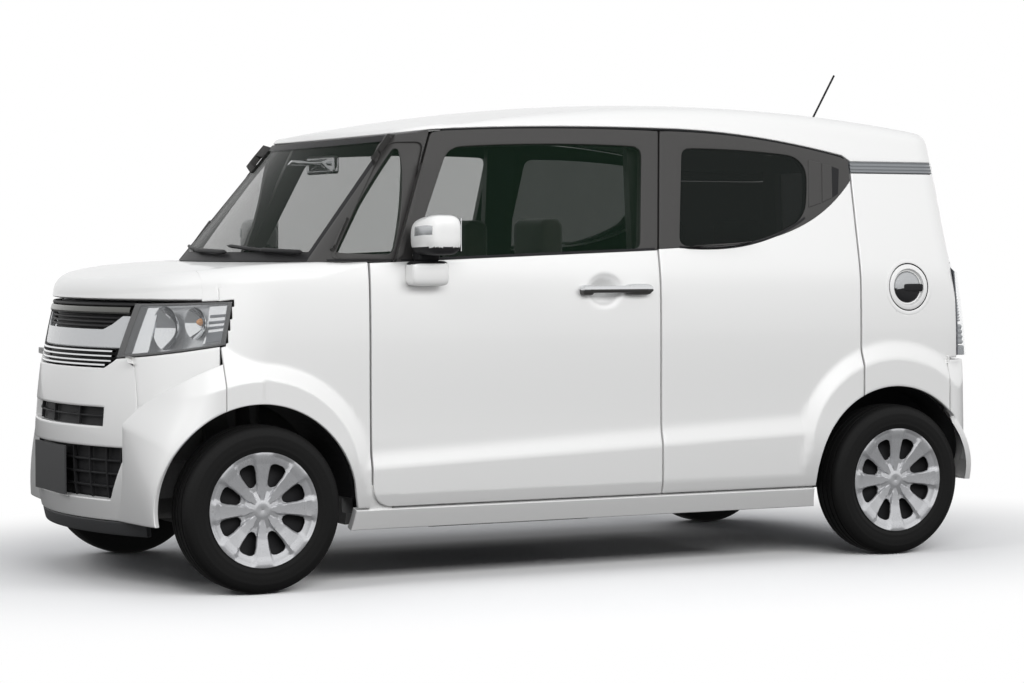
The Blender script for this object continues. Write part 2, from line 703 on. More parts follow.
SIDES = (("left", lambda mesh: mesh), ("right", mirrored))
print("grid tools ready")

# %% [markdown]
# ## Doors
# Each door is a pressed lower shell, a dark window frame and a pane. The shell's edges are broken
# lines in the side view. A Coons patch fills them evenly and the patch is lifted onto the flank, so
# the sill ledge and the arch flare run through the shut lines without a step.

# %% Door shells
DOOR_FOOT, FRONT_EDGE_X, FRONT_EDGE_TOP, REAR_EDGE_X = 0.270, 0.806, 1.087, -1.1620
BELT_FRONT, BELT_REAR = (0.7105, 1.090), (-0.310, 1.129)
KICK_END, KICK_TOP = (-0.317, 1.133), (-1.162, 1.384)
KICK = np.vstack([bowed(KICK_TOP, (-0.940, 1.222), (-0.640, 1.150)), KICK_END])


def arch_arc(arch_x, start, end, count=25):
    """Points on a wheel arch between two angles, in degrees from straight ahead."""
    turn = np.radians(np.linspace(start, end, count))
    return points_at(arch_x + ARCH_R * np.cos(turn), ARCH_Z + ARCH_R * np.sin(turn))


def front_shell():
    """Front door below the belt: straight edges and a rounded lower front corner."""
    corner = bowed((0.742, DOOR_FOOT), (0.787, 0.290), (FRONT_EDGE_X, 0.335))
    foot, tip = (BELT_REAR[0], DOOR_FOOT), (FRONT_EDGE_X, FRONT_EDGE_TOP)
    return coons(bottom=[foot, (0.742, DOOR_FOOT)], top=[BELT_REAR, BELT_FRONT, tip],
                 rear=[foot, BELT_REAR], front=[*corner, tip], columns=100, rows=82)


def rear_shell():
    """Rear door below the windows: the arch cuts its lower rear corner and the belt kicks up
    behind."""
    start = math.degrees(math.acos((REAR_EDGE_X - REAR_ARCH_X) / ARCH_R))
    arch = arch_arc(REAR_ARCH_X, start, -1.8)
    foot = KICK_END[0], DOOR_FOOT
    return coons(bottom=[*arch, foot], top=KICK, rear=[(REAR_EDGE_X, arch[0, 1]), KICK_TOP],
                 front=[foot, KICK_END], columns=62, rows=86)


def cup(x, z):
    """Dish behind the front door's handle: depth falls off from the middle as (1 - r^2)^1.5 inside
    an ellipse."""
    r2 = ((x + 0.088) / 0.072) ** 2 + ((z - 0.988) / 0.060) ** 2
    return 0.026 * np.clip(1 - r2, 0, None) ** 1.5


SHELLS = {"front": front_shell(), "rear": rear_shell()}
for end, flat in SHELLS.items():
    grid = on_flank(flat)
    if end == "front":
        grid[..., 1] -= cup(grid[..., 0], grid[..., 2])
    shell = slab(sheet(grid, flip=True), 0.058)
    for side, turn in SIDES:
        node = f"door_{end}_{side}"
        piece("shell_" + node, turn(shell), "paint", node, [node], second="black_plastic",
              in_second=lambda c: np.abs(c[:, 1]) < flank(c[:, 0], c[:, 2]) - 0.045)
back = patch((0.730, 0.258), (0.817, 0.258), (0.730, 0.345), (0.817, 0.345), 12, 12)
back = slab(sheet(on_flank(back, 0.010), flip=True), 0.008, roll=0.002)
piece("door_corner_backs", both(back), "paint", "body")
print("door shells:", len(shell[1]), "faces each")

# %% [markdown]
# ## Window frames and panes
# The frame is a ring between the door's outline and the pane's outline. Both outlines are walked
# side by side, each of four sides with its own bow, and the corners are rounded by adding a share
# of the two neighbouring directions.

# %% Window frames
def ring_line(sides, rounding, count):
    """Closed line of four sides, each (start, middle or None, end). Near a corner, with e falling
    from a half to 0 over `rounding` of a side, the point moves by e squared times the two
    directions away from that corner."""
    t = np.linspace(0, 1, count)
    runs = []
    for start, middle, end in sides:
        middle = (np.add(start, end) / 2) if middle is None else middle
        runs.append(bowed(start, middle, end, count))
    runs = np.array(runs)
    for i, reach in enumerate(rounding):
        last = (i - 1) % len(runs)
        tip = runs[i, 0].copy()
        size = [np.linalg.norm(runs[k][-1] - runs[k][0]) for k in (last, i)]
        ahead = np.stack([np.interp(reach / size[1], t, runs[i, :, k]) for k in (0, 1)])
        behind = np.stack([np.interp(1 - reach / size[0], t, runs[last, :, k]) for k in (0, 1)])
        pull = ahead + behind - 2 * tip
        runs[i] += (np.clip(1 - t * size[1] / reach, 0, 1)[:, None] / 2) ** 2 * pull
        near = np.clip(1 - (1 - t) * size[0] / reach, 0, 1)[:, None] / 2
        near[-1] = 0.5
        runs[last] += near ** 2 * pull
    return runs[:, :-1].reshape(-1, 2)


FRAMES = {
    # outer sides, pane sides, corner reach outside, corner reach of the pane
    "front": (
        [(BELT_FRONT, None, (0.537, 1.535)), ((0.537, 1.535), (0.090, 1.5535), (-0.360, 1.553)),
         ((-0.360, 1.553), None, BELT_REAR), (BELT_REAR, None, BELT_FRONT)],
        [((0.655, 1.097), None, (0.478, 1.481)), ((0.478, 1.481), (0.090, 1.499), (-0.286, 1.495)),
         ((-0.286, 1.495), None, (-0.240, 1.132)), ((-0.240, 1.132), None, (0.655, 1.097))],
        (0.004, 0.02, 0.004, 0.004), (0.03, 0.05, 0.04, 0.03)),
    "rear": (
        [(KICK_END, None, (-0.367, 1.553)), ((-0.367, 1.553), (-0.760, 1.5325), (-1.162, 1.464)),
         ((-1.162, 1.464), None, KICK_TOP), (KICK_TOP, along(KICK, 0.5), KICK_END)],
        [((-0.402, 1.146), None, (-0.451, 1.492)),
         ((-0.451, 1.492), (-0.720, 1.488), (-0.977, 1.466)),
         ((-0.977, 1.466), (-0.968, 1.360), (-0.946, 1.252)),
         ((-0.946, 1.252), (-0.700, 1.158), (-0.402, 1.146))],
        (0.004, 0.004, 0.02, 0.004), (0.03, 0.03, 0.09, 0.05)),
}
RING = 28


def frame_rings(outer, inner, outside, inside):
    """Grid from the pane's edge to the frame's edge, closed on itself. A bowed belt follows the
    kick exactly."""
    a, b = ring_line(inner, inside, RING), ring_line(outer, outside, RING)
    if outer[3][1] is not None:
        b[3 * (RING - 1):] = along(KICK, np.linspace(0, 1, RING)[:-1])
    rows = np.linspace(0, 1, 5)[:, None, None]
    grid = a + (b - a) * rows
    return ringed(grid), a


def pane_grid(edge, rows=14, grow=0.010):
    """Pane: lines from the rounded edge to the pane's middle, the edge grown to sit under its
    frame."""
    middle = edge.mean(axis=0)
    reach = np.linspace(0, 1, rows)[:, None, None]
    offset = edge - middle
    size = np.linalg.norm(offset, axis=1, keepdims=True)
    grown = middle + offset * (1 + grow / size)
    return ringed(middle + (grown - middle) * reach)


for end, (outer, inner, outside, inside) in FRAMES.items():
    ring, edge = frame_rings(outer, inner, outside, inside)
    frame_mesh = slab(sheet(on_flank(ring)), 0.030, roll=0.002)
    glass_mesh = slab(sheet(on_flank(pane_grid(edge), 0.004)), 0.004, roll=0.001)
    for side, turn in SIDES:
        door = f"door_{end}_{side}"
        piece(f"frame_{end}_{side}", turn(frame_mesh), "dark_trim", door,
              [f"window_frame_{end}_{side}"])
        piece(f"pane_{end}_{side}", turn(glass_mesh),
              "clear_glass" if end == "front" else "dark_glass", door,
              [f"window_glass_{end}_{side}"])
print("window frames and panes made")

# %% [markdown]
# ## Rear quarters and front fenders
# The quarter wraps round the tail corner, so it is walked by length along the outline and by
# height. The fender rolls over at the shoulder into the bonnet's shut line, so its height runs on
# as arc length past the roll.

# %% Rear quarters
TAIL_LAMP_X, FLAP_X, FLAP_Z, FLAP_R = -1.6025, -1.3785, 0.992, 0.086
QUARTER_REAR_X, QUARTER_FRONT_X, QUARTER_Z = TAIL_LAMP_X + 0.003, -1.169, (0.726, 1.412)
BUMPER_SHUT_X = -1.5485


def quarter_panel():
    """Side from the rear door's shut line to the tail lamp, above the arch and the rear bumper."""
    start, end = (math.degrees(math.acos((x - REAR_ARCH_X) / ARCH_R))
                  for x in (QUARTER_FRONT_X, BUMPER_SHUT_X))
    arch = arch_arc(REAR_ARCH_X, start, end, 33)
    (foot, low_front), (tip, top_front) = (
        [(x, z) for x in (QUARTER_REAR_X, QUARTER_FRONT_X)] for z in QUARTER_Z)
    return coons(bottom=[foot, (BUMPER_SHUT_X, QUARTER_Z[0]), *arch[::-1]], top=[tip, top_front],
                 rear=[foot, tip], front=[(low_front[0], arch[0, 1]), top_front], columns=60,
                 rows=76)


def flap_dish(flat):
    """Mask of faces outside the round fuel flap, on the left side only."""
    x, z = ((flat[:-1, :-1, i] + flat[1:, 1:, i]) / 2 for i in (0, 1))
    return np.hypot(x - FLAP_X, z - FLAP_Z) > FLAP_R + 0.010


def corner_strip():
    """Above the tail lamp the quarter goes on round the corner to the tailgate's shut line."""
    z = np.linspace(1.178, 1.4555, 24)[:, None]
    row = cabin_row(z)
    y0 = half_width(np.full_like(z, QUARTER_REAR_X), row)
    seam = np.interp(z, (1.18, 1.531), (0.599, 0.542))
    y = y0 + (seam - y0) * np.linspace(0, 1, 16)[None] ** 0.8
    return points_at(tail_at(y, row), y, z)


flat = quarter_panel()
strip = sheet(corner_strip())
left = slab(joined(sheet(on_flank(flat), flap_dish(flat), flip=True), strip), 0.012)
right = slab(joined(sheet(on_flank(flat), flip=True), strip), 0.012)
quarters = joined(left, mirrored(right))
piece("quarter_panels", quarters, "paint", "body", ["rear_quarters"])
print("quarters:", len(quarters[1]), "faces")

# %% Front fenders
BONNET_TOP = 1.091


def bonnet_height(x):
    """Bonnet crown: level to x 0.8995, then a parabola down to the nose."""
    return BONNET_TOP - np.clip(x - 0.8995, 0, None) ** 2 / 8.0


SHUT_ROLL, STRAIGHT_TO, COWL_END_X = 0.060, 0.90, 1.040


def shut_y(x):
    """The bonnet's side shut line: where the fender's roll comes level."""
    return flank(x, bonnet_height(x) - SHUT_ROLL, STRAIGHT_TO) - SHUT_ROLL


def fender_panel(x, low, rows):
    """Fender (x, s): s climbs the flank to the roll, goes round a quarter circle to the bonnet's
    shut line, and beside the cowl runs on level to the foot of the front pillar."""
    x = np.asarray(x)[None]
    roll = np.interp(x, (0.813, 1.0), (0.012, SHUT_ROLL))
    top = bonnet_height(x)
    z = low + (top - roll - low) * np.linspace(0, 1, rows)[:, None]
    wall = points_at(x, flank(x, z, STRAIGHT_TO), z)
    turn = np.linspace(0, np.pi / 2, 10)[1:, None]
    y = flank(x, top - roll, STRAIGHT_TO) - roll * (1 - np.cos(turn))
    crest = points_at(x, y, top - roll + roll * np.sin(turn))
    foot = np.where(x < COWL_END_X, np.minimum(y[-1:], half_width(x, cabin_row(top)) - 0.012),
                    y[-1:])
    inward = np.linspace(0, 1, 6)[1:, None]
    shelf_y = y[-1:] + (foot - y[-1:]) * inward
    shelf = points_at(x, shelf_y, top)
    return np.concatenate([wall, crest, shelf])


def lamp_top(x):
    """Fender's edge along the headlamp's upper line."""
    return 0.966 - (x - 1.2895) * 0.0456


def lamp_notch(grid):
    """Mask of faces outside the headlamp's outline."""
    x, z = ((grid[:-1, :-1, i] + grid[1:, 1:, i]) / 2 for i in (0, 2))
    top = lamp_top(x)
    bottom = 0.821 - (x - 1.3155) * 0.1706 - 0.004
    end = 1.2895 + (0.962 - z) * 0.1844 - 0.004
    return ~((z < top) & (z > bottom) & (x > end))


x = np.concatenate([np.linspace(0.813, 1.0395, 26), np.linspace(1.0405, 1.3290, 40)])
reach = np.sqrt(np.clip(ARCH_R ** 2 - (x - FRONT_ARCH_X) ** 2, 0, None))
grid = fender_panel(x, np.where(reach > 0, ARCH_Z + reach, 0.268), 90)
ahead = np.linspace(1.3290, 1.378, 10)
strip = fender_panel(ahead, lamp_top(ahead), 6)
fender = slab(welded(joined(sheet(grid, lamp_notch(grid), flip=True), sheet(strip, flip=True))),
              0.012, back=False)
piece("fenders", both(fender), "paint", "body", ["front_fenders"])
print("fenders:", 2 * len(fender[1]), "faces")

# %% [markdown]
# ## Nose
# The bumper is one moulding. It is walked by the outward direction of the nose and by height, with
# grid lines laid along the edges of the slot and of the mouth, so those openings are faces left out
# of the grid and their edges roll inwards. At the corner a squarer flare stands proud of the round
# bumper: a curve from its crease, past a corner point, to the arch edge, carried round the arch.

# %% Front bumper
SLOT_Y, SLOT_Z = 0.366, (0.546, 0.609)
MOUTH_Y, MOUTH_Z = (0.392, 0.480), (0.303, 0.478)
BUMPER_LOW, BUMPER_JOIN_X, BUMPER_END_X = 0.232, 1.5565, 1.3325
GRILLE_Z = (0.742, 0.770)


def lamp_low(x):
    """The headlamp's lower line, which climbs from the grille's end towards the fender."""
    return GRILLE_Z[1] + np.clip(1.6145 - x, 0, None) / 0.299 * 0.051


def bumper_top(x, y):
    """Top edge: under the grille at the middle, up its slanted end, then along the headlamp's lower
    line."""
    return np.where(y < 0.395, np.interp(y, (0.345, 0.395), GRILLE_Z), lamp_low(x)) - 0.003


def bumper_levels():
    """Heights of the grid's rows, closer together at the edges of slot and mouth."""
    ends = (BUMPER_LOW, MOUTH_Z[0], MOUTH_Z[1], SLOT_Z[0], SLOT_Z[1], GRILLE_Z[1])
    return graded(ends, (9, 14, 8, 8, 16))


def stretched(level, low, top):
    """Rows squeezed between a lower and an upper edge, with the slot's top row kept."""
    hold = SLOT_Z[1]
    below = low + (level - BUMPER_LOW) / (hold - BUMPER_LOW) * (np.maximum(hold, low + 0.01) - low)
    above = hold + (level - hold) / (GRILLE_Z[1] - hold) * (top - hold)
    return np.where(level <= hold, below, np.maximum(above, low + 0.01 + (level - hold) * 0.02))


def bumper_face():
    """Half of the bumper's face between its middle and the arch, and the mask of faces that
    stay."""
    level = bumper_levels()[:, None]
    row = lower_row(level)
    slot = nose_angle_at_y(np.full_like(level, SLOT_Y), row)
    mouth = nose_angle_at_y(np.interp(level, MOUTH_Z, MOUTH_Y), row)
    join = nose_angle_at_x(np.full_like(level, BUMPER_JOIN_X), row)
    marks = [np.zeros_like(level), slot, mouth, join]
    counts = (16, 7, 6)
    angle = graded(marks, counts)
    x, y = nose_point(angle, row)
    z = stretched(np.broadcast_to(level, x.shape), np.full_like(x, BUMPER_LOW), bumper_top(x, y))
    x, y = nose_point(angle, lower_row(z))
    middle = (level[:-1] + level[1:]) / 2
    in_slot = between(middle, SLOT_Z) & np.repeat((True, False, False), counts)
    in_mouth = between(middle, MOUTH_Z) & np.repeat((True, True, False), counts)
    return points_at(x, y, z), ~(in_slot | in_mouth)


def bumper_cheek():
    """Side of the bumper from the arch's foremost point to the fender's shut line, above the
    arch."""
    level = bumper_levels()[:, None]
    x = np.linspace(BUMPER_JOIN_X, BUMPER_END_X, 30)[None]
    low = ARCH_Z + np.sqrt(np.clip(ARCH_R ** 2 - (x - FRONT_ARCH_X) ** 2, 0, None))
    low[:, 0] = BUMPER_LOW
    z = stretched(level, low, bumper_top(x, np.full_like(x, 0.6)))
    return points_at(x, half_width(x, lower_row(z)), z)


def corner_flare():
    """Flare patch (a, b): a turns round the arch, b goes from the crease past a corner point to the
    arch edge on a rational quadratic curve. The arch edge stands at the car's full width and comes
    in at the front."""
    turn = np.linspace(0, 1, 56)[:, None]
    start = math.degrees(math.asin((BUMPER_LOW - ARCH_Z) / ARCH_R))
    a, fore = np.radians(start + (69.7 - start) * turn), np.radians(-16 + 90.25 * turn)
    b = np.linspace(0, 1, 24)[None]
    reach = np.minimum(0.44, (1.592 - FRONT_ARCH_X) / np.cos(fore))
    crease_x = FRONT_ARCH_X + reach * np.cos(fore)
    crease_z = np.maximum(ARCH_Z + 0.055 + reach * np.sin(fore), BUMPER_LOW)
    crease_y = half_width(crease_x, lower_row(crease_z)) - 0.002
    edge_x, edge_z = FRONT_ARCH_X + ARCH_R * np.cos(a), ARCH_Z + ARCH_R * np.sin(a)
    edge_y = flare_width(edge_x)
    tip_x = edge_x + (crease_x - edge_x) * 0.35
    tip_y = np.maximum(edge_y - 0.016, crease_y)
    tip_z = edge_z + (crease_z - edge_z) * 0.45
    bulge = 1.6
    share = (1 - b) ** 2, 2 * bulge * b * (1 - b), b ** 2
    total = sum(share)
    lines = ((crease_x, tip_x, edge_x), (crease_y, tip_y, edge_y), (crease_z, tip_z, edge_z))
    grid = np.stack([sum(w * p for w, p in zip(share, line)) / total for line in lines], axis=-1)
    late = np.clip((turn - 0.6) / 0.4, 0, 1)
    late = late ** 2 * (3 - 2 * late)
    grid[..., 1] += (flank(grid[..., 0], grid[..., 2], STRAIGHT_TO) - grid[..., 1]) * late
    return grid


face, stays = bumper_face()
half = joined(sheet(face, stays), sheet(bumper_cheek()))
bumper = slab(both(half), 0.026, roll=0.004, back=False)
flare = slab(facing(sheet(corner_flare()), 1), 0.02, roll=0.004, back=False)
piece("bumper_skin", joined(bumper, both(flare)), "paint", "body", ["front_bumper"])
print("bumper:", len(bumper[1]), "faces")

# %% [markdown]
# ## Openings and lip
# Behind the slot and the mouth lies a black moulding with thin bars. Every bar is a small rounded
# section carried along the nose at one height.

# %% Bumper openings
def nose_bar(angles, low, high, proud, thick, count=48, soft=0.45):
    """Bar along the nose: a rounded rectangle between two heights, `thick` deep, carried over
    outward directions. The section is a superellipse, cos and sin raised to the power `soft`."""
    a = np.linspace(*angles, count)[None]
    t = np.linspace(0, 2 * np.pi, 21)[:, None]
    up = np.sign(np.sin(t)) * np.abs(np.sin(t)) ** soft
    out = np.sign(np.cos(t)) * np.abs(np.cos(t)) ** soft
    z = (low + high) / 2 + (high - low) / 2 * up + 0 * a
    x, y = nose_point(a + 0 * z, lower_row(z))
    push = proud - thick / 2 + thick / 2 * out
    grid = points_at(x + push * np.cos(a), y + push * np.sin(a), z)
    ends = [np.repeat(grid[:, i:i + 1].mean(axis=0, keepdims=True), len(t), axis=0)
            for i in (0, -1)]
    return sheet(np.concatenate([ends[0], grid, ends[1]], axis=1))


def nose_sheet(angles, levels, inset, count=40):
    """Plain sheet along the nose, set in behind the outer face."""
    z = np.linspace(*levels, 14)[:, None]
    a = np.linspace(*angles, count)[None] + 0 * z
    x, y = nose_point(a, lower_row(z + 0 * a))
    return sheet(points_at(x - inset * np.cos(a), y - inset * np.sin(a), z + 0 * a))


def upright(angle, low, high, inset, wide=0.006):
    """Upright rib between two heights at one outward direction: a narrow nose_sheet with depth."""
    return slab(nose_sheet((angle - wide / 2, angle + wide / 2), (low, high), inset, 3), 0.012,
                roll=0.001)


black = [slab(nose_sheet((-0.56, 0.56), (0.285, 0.50), 0.034), 0.004, roll=0.001),
         slab(nose_sheet((-0.40, 0.40), (0.53, 0.625), 0.030), 0.004, roll=0.001)]
black += [nose_bar((-0.50, 0.50), z - 0.004, z + 0.004, -0.018, 0.014)
          for z in (0.345, 0.388, 0.432)]
black += [upright(a, 0.305, 0.477, 0.016) for a in (-0.42, -0.34, 0.17, 0.27, 0.36, 0.43)]
black += [upright(a, 0.548, 0.607, 0.016) for a in (-0.2, 0.0, 0.2)]
black += [nose_bar((-0.36, 0.36), 0.574, 0.581, -0.018, 0.012)]
lip = nose_bar((-0.62, 0.62), 0.184, 0.231, -0.003, 0.024, soft=0.3)
piece("bumper_black", joined(*black), "black_plastic", "body", ["bumper_inserts"])
piece("bumper_lip", lip, "grey_plastic_dark", "body")
print("bumper openings:", sum(len(mesh[1]) for mesh in black), "faces")

# %% [markdown]
# ## Grille
# From the top: a thin black line, a satin bar, a dark opening with slanted ends, a silver face,
# then four fine bright bars over black. The badge place on the silver face stays bare.

# %% Grille
def grille_face():
    """Silver face: a sheet along the nose from which the dark opening, a trapezoid in angle and
    height, is left out."""
    z = np.concatenate([np.linspace(0.804, 0.866, 12), np.linspace(0.868, 0.912, 12)])[:, None]
    edge = np.interp(z, (0.866, 0.884, 0.912), (0.285, 0.33, 0.375))
    end = np.interp(z, (0.77, 0.955), (0.392, 0.425))
    counts = (8, 39, 8)
    a = graded([-end, -edge, edge, end], counts)
    x, y = nose_point(a, lower_row(z + 0 * a))
    middle = (z[:-1] + z[1:]) / 2
    inset = 0.010
    grid = points_at(x - inset * np.cos(a), y - inset * np.sin(a), z + 0 * a)
    return sheet(grid, ~((middle > 0.866) & np.repeat((False, True, False), counts)))


silver = slab(grille_face(), 0.012, roll=0.003)
bright = [nose_bar((-0.36, 0.36), z - 0.0035, z + 0.0035, -0.004, 0.016)
          for z in (0.794, 0.778, 0.762)]
bright.append(nose_bar((-0.335, 0.335), 0.7445, 0.752, -0.002, 0.018))
satin = nose_bar((-0.41, 0.41), 0.917, 0.942, -0.003, 0.022, soft=0.6)
dark = [slab(nose_sheet((-0.40, 0.40), (0.742, 0.958), 0.036), 0.004, roll=0.001),
        nose_bar((-0.43, 0.43), 0.944, 0.955, -0.006, 0.03)]
dark += [nose_bar((-0.385, 0.385), z - 0.004, z + 0.004, -0.02, 0.012)
         for z in (0.876, 0.890, 0.904)]
piece("grille_silver", silver, "grille_silver", "body", ["upper_grille"])
piece("grille_bright", joined(*bright), "chrome", "body")
piece("grille_satin", satin, "satin_dark", "body")
piece("grille_black", joined(*dark), "black_plastic", "body")
print("grille made")

# %% [markdown]
# ## Bonnet
# The bonnet is walked by direction round the nose. Each line climbs from the lip, goes over the
# rounded rim on a quarter of a circle and runs straight back to the cowl, over a slight crown.

# %% Bonnet
BONNET_LIP, BONNET_HALF, RIM_R = 0.967, 0.640, 0.060


def bonnet_panel():
    """Grid (line round the nose, place along the line) of the bonnet's outer face."""
    end = nose_angle_at_y(np.array(BONNET_HALF), lower_row(np.array(1.0)))
    angle = float(end) * np.linspace(-1, 1, 81)
    level = np.full_like(angle, 1.0)
    rim_x = nose_point(angle, lower_row(level))[0]
    top = bonnet_height(rim_x - RIM_R * np.cos(angle))
    climb = np.linspace(0, 1, 8)[:, None]
    z = BONNET_LIP + (np.maximum(top - RIM_R, BONNET_LIP + 0.004) - BONNET_LIP) * climb
    x, y = nose_point(angle[None] + 0 * z, lower_row(z))
    wall = points_at(x, y, z)
    turn = np.linspace(0, np.pi / 2, 12)[1:, None]
    base = wall[-1]
    lift = top - base[:, 2]
    in_x, in_y = RIM_R * np.cos(angle), RIM_R * np.sin(angle)
    roll = points_at(base[:, 0] - in_x * (1 - np.cos(turn)), base[:, 1] - in_y * (1 - np.cos(turn)),
                     base[:, 2] + lift * np.sin(turn))
    back_y = np.clip(roll[-1, :, 1] / np.abs(roll[-1, :, 1]).max(), -1, 1) * BONNET_HALF
    back_x = 1.125 - 0.083 * (back_y / BONNET_HALF) ** 2
    run = np.linspace(0, 1, 40)[1:, None]
    x = roll[-1, :, 0] + (back_x - roll[-1, :, 0]) * run
    y = roll[-1, :, 1] + (back_y - roll[-1, :, 1]) * run
    y += (shut_y(x[:, -1:]) - 0.004 - y[:, -1:]) * (angle / end) ** 3 * np.clip(run * 8, 0, 1)
    crown = 0.008 * (1 - (y / BONNET_HALF) ** 2) * np.sin(np.pi * np.clip(run * 0.9, 0, 1)) ** 0.7
    deck = points_at(x, y, bonnet_height(x) + crown)
    return np.concatenate([wall, roll, deck])


bonnet = slab(sheet(bonnet_panel()), 0.020, roll=0.004)
piece("bonnet_skin", bonnet, "paint", "bonnet", ["bonnet"])
print("bonnet:", len(bonnet[1]), "faces")

# %% [markdown]
# ## Headlamps
# A clear lens follows the body's corner. Behind it sit a dark surround, two bright bowls, a small
# amber bulb and a striped outer reflector, each its own surface.

# %% Headlamps
def lamp_place(u, v):
    """Place on the body's corner for u from the lamp's inner end to its outer end and v from its
    lower to its upper line. Height and direction depend on each other, so they are settled by a few
    rounds of substitution."""
    z = 0.78 + 0.17 * v
    for _ in range(6):
        row = lower_row(z)
        inner = nose_angle_at_y(np.interp(z, (0.77, 0.955), (0.398, 0.440)), row)
        outer = nose_angle_at_x(np.interp(z, (0.821, 0.962), (1.3155, 1.2895)), row)
        angle = inner + (outer - inner) * u
        x, y = nose_point(angle, row)
        low = lamp_low(x)
        high = np.interp(x, (1.2895, 1.5525), (0.962, 0.953))
        z = low + (high - low) * v
    return x, y, z, angle


def lamp_grid(us, vs, inset, rows=24, columns=48):
    """Sheet over part of the lamp's outline, set in along the outward direction."""
    v, u = lattice((*vs, rows), (*us, columns))
    x, y, z, angle = lamp_place(u, v)
    return points_at(x - inset * np.cos(angle), y - inset * np.sin(angle), z)


def lamp_bowl(u, v, radius, deep, inset):
    """Paraboloid bowl opening outwards round the lamp's point (u, v): depth falls with the square
    of the radius."""
    x, y, z, angle = (float(value) for value in lamp_place(np.array(u), np.array(v)))
    r = np.linspace(0, 1, 14)[:, None] * radius
    t = np.linspace(0, 2 * np.pi, 49)[None]
    out = -inset - deep * (1 - (r / radius) ** 2) + 0 * t
    side, up = r * np.cos(t), r * np.sin(t)
    facing = 0.35 * angle
    return points_at(x + out * math.cos(facing) - side * math.sin(facing),
                     y + out * math.sin(facing) + side * math.cos(facing), z + up)


lens = slab(sheet(lamp_grid((0, 1), (0, 1), -0.0005)), 0.004, roll=0.002)
surround = joined(*[slab(sheet(lamp_grid(us, vs, 0.001, 6, 40)), 0.02, roll=0.001) for us, vs in (
    ((0, 1), (0, 0.045)), ((0, 1), (0.955, 1)), ((0, 0.035), (0, 1)), ((0.96, 1), (0, 1)))])
housing = slab(sheet(lamp_grid((0.02, 0.98), (0.02, 0.98), 0.055)), 0.004, roll=0.002)
ridge = sheet(lamp_grid((0.02, 0.20), (0.04, 0.96), 0.020, 16, 20))
bowl = sheet(lamp_bowl(0.36, 0.50, 0.072, 0.045, 0.004), flip=True)
small = sheet(lamp_bowl(0.66, 0.56, 0.052, 0.035, 0.004), flip=True)
bulb = sheet(lamp_bowl(0.66, 0.58, 0.013, -0.016, 0.026))
stripes = [slab(sheet(lamp_grid((0.80, 0.955), (v, v + 0.055), 0.010, 4, 16)), 0.012, roll=0.002)
           for v in (0.66, 0.52, 0.40)]
panel = slab(sheet(lamp_grid((0.80, 0.955), (0.10, 0.33), 0.012, 8, 16)), 0.012, roll=0.002)
bright = slab(sheet(lamp_grid((0.77, 0.96), (0.06, 0.95), 0.024, 12, 16)), 0.004, roll=0.002)
LAMP_PARTS = (("lens", lens, "lamp_clear"), ("surround", surround, "dark_trim"),
              ("housing", housing, "chrome_soft"),
              ("reflectors", joined(bowl, small, slab(ridge, 0.004), bright), "chrome"),
              ("bulb", bulb, "amber"), ("stripes", joined(panel, *stripes), "lamp_grey"))
for name, mesh, finish in LAMP_PARTS:
    piece("headlamp_" + name, both(mesh), finish, "body", ["headlamps"] if name == "lens" else ())
print("headlamps made")

# %% [markdown]
# ## Roof
# The roof is walked round the glass-house outline. At each station the wall climbs from its seam,
# turns over the rim on a circular arc, written as a rational quadratic with tangent length r
# tan(b/2) and weight cos(b/2), and then runs on the crowned top to the middle line.

# %% Roof
RIM = 0.062
STATIONS = (34, 60, 20, 18)


def crown(x, y):
    """Roof height: parabolas of radius 6.5 m along and 5.4 m across."""
    return 1.668 - (x + 0.5525) ** 2 / 13.0 - y ** 2 / 10.8


def station(z):
    """Half the glass-house outline at heights z: screen, side, tail corner and tail, each with its
    count of stations."""
    row = cabin_row(z)
    half, tail, tail_r = (row[..., i] for i in (0, 4, 5))
    corner_x = corner_arcs(row)[3]
    kind = np.repeat(np.arange(4), STATIONS)
    part = np.concatenate([np.linspace(0, 1, n, endpoint=i == 3) for i, n in enumerate(STATIONS)])
    bow_x, bow_y = nose_point(part * np.pi / 2, row)
    turn = part * np.pi / 2
    back = tail + TAIL_BOW + tail_r
    x = np.choose(kind, [bow_x, corner_x + (back - corner_x) * part, back - tail_r * np.sin(turn),
                         tail + TAIL_BOW * (1 - part) ** 2])
    y = np.choose(kind, [bow_y, half, half - tail_r * (1 - np.cos(turn)),
                         (half - tail_r) * (1 - part)])
    return x, y, kind


def header_z(x):
    """Roof's edge over the screen: from the front door's top corner it falls a little towards the
    middle."""
    return 1.542 - 0.114 * (x - 0.537)


def roof_seam(x, y, kind):
    """Height of the roof's lower edge: header, door tops, garnish and tailgate."""
    doors = np.where(x > -0.367, np.interp(x, *ROOF_SIDE_FRONT.T[:, ::-1]),
                     np.interp(x, *ROOF_SIDE_REAR.T[:, ::-1]))
    side = np.where(x > 0.537, header_z(x), np.where(x > -1.169, doors, 1.456))
    return np.where(kind >= 2, np.interp(y, (0.5425, 0.5545), (1.531, 1.456)), side)


ROOF_SIDE_FRONT = bowed((0.537, 1.542), (0.085, 1.5605), (-0.367, 1.563), 41)
ROOF_SIDE_REAR = bowed((-0.367, 1.563), (-0.760, 1.540), (-1.169, 1.471), 41)


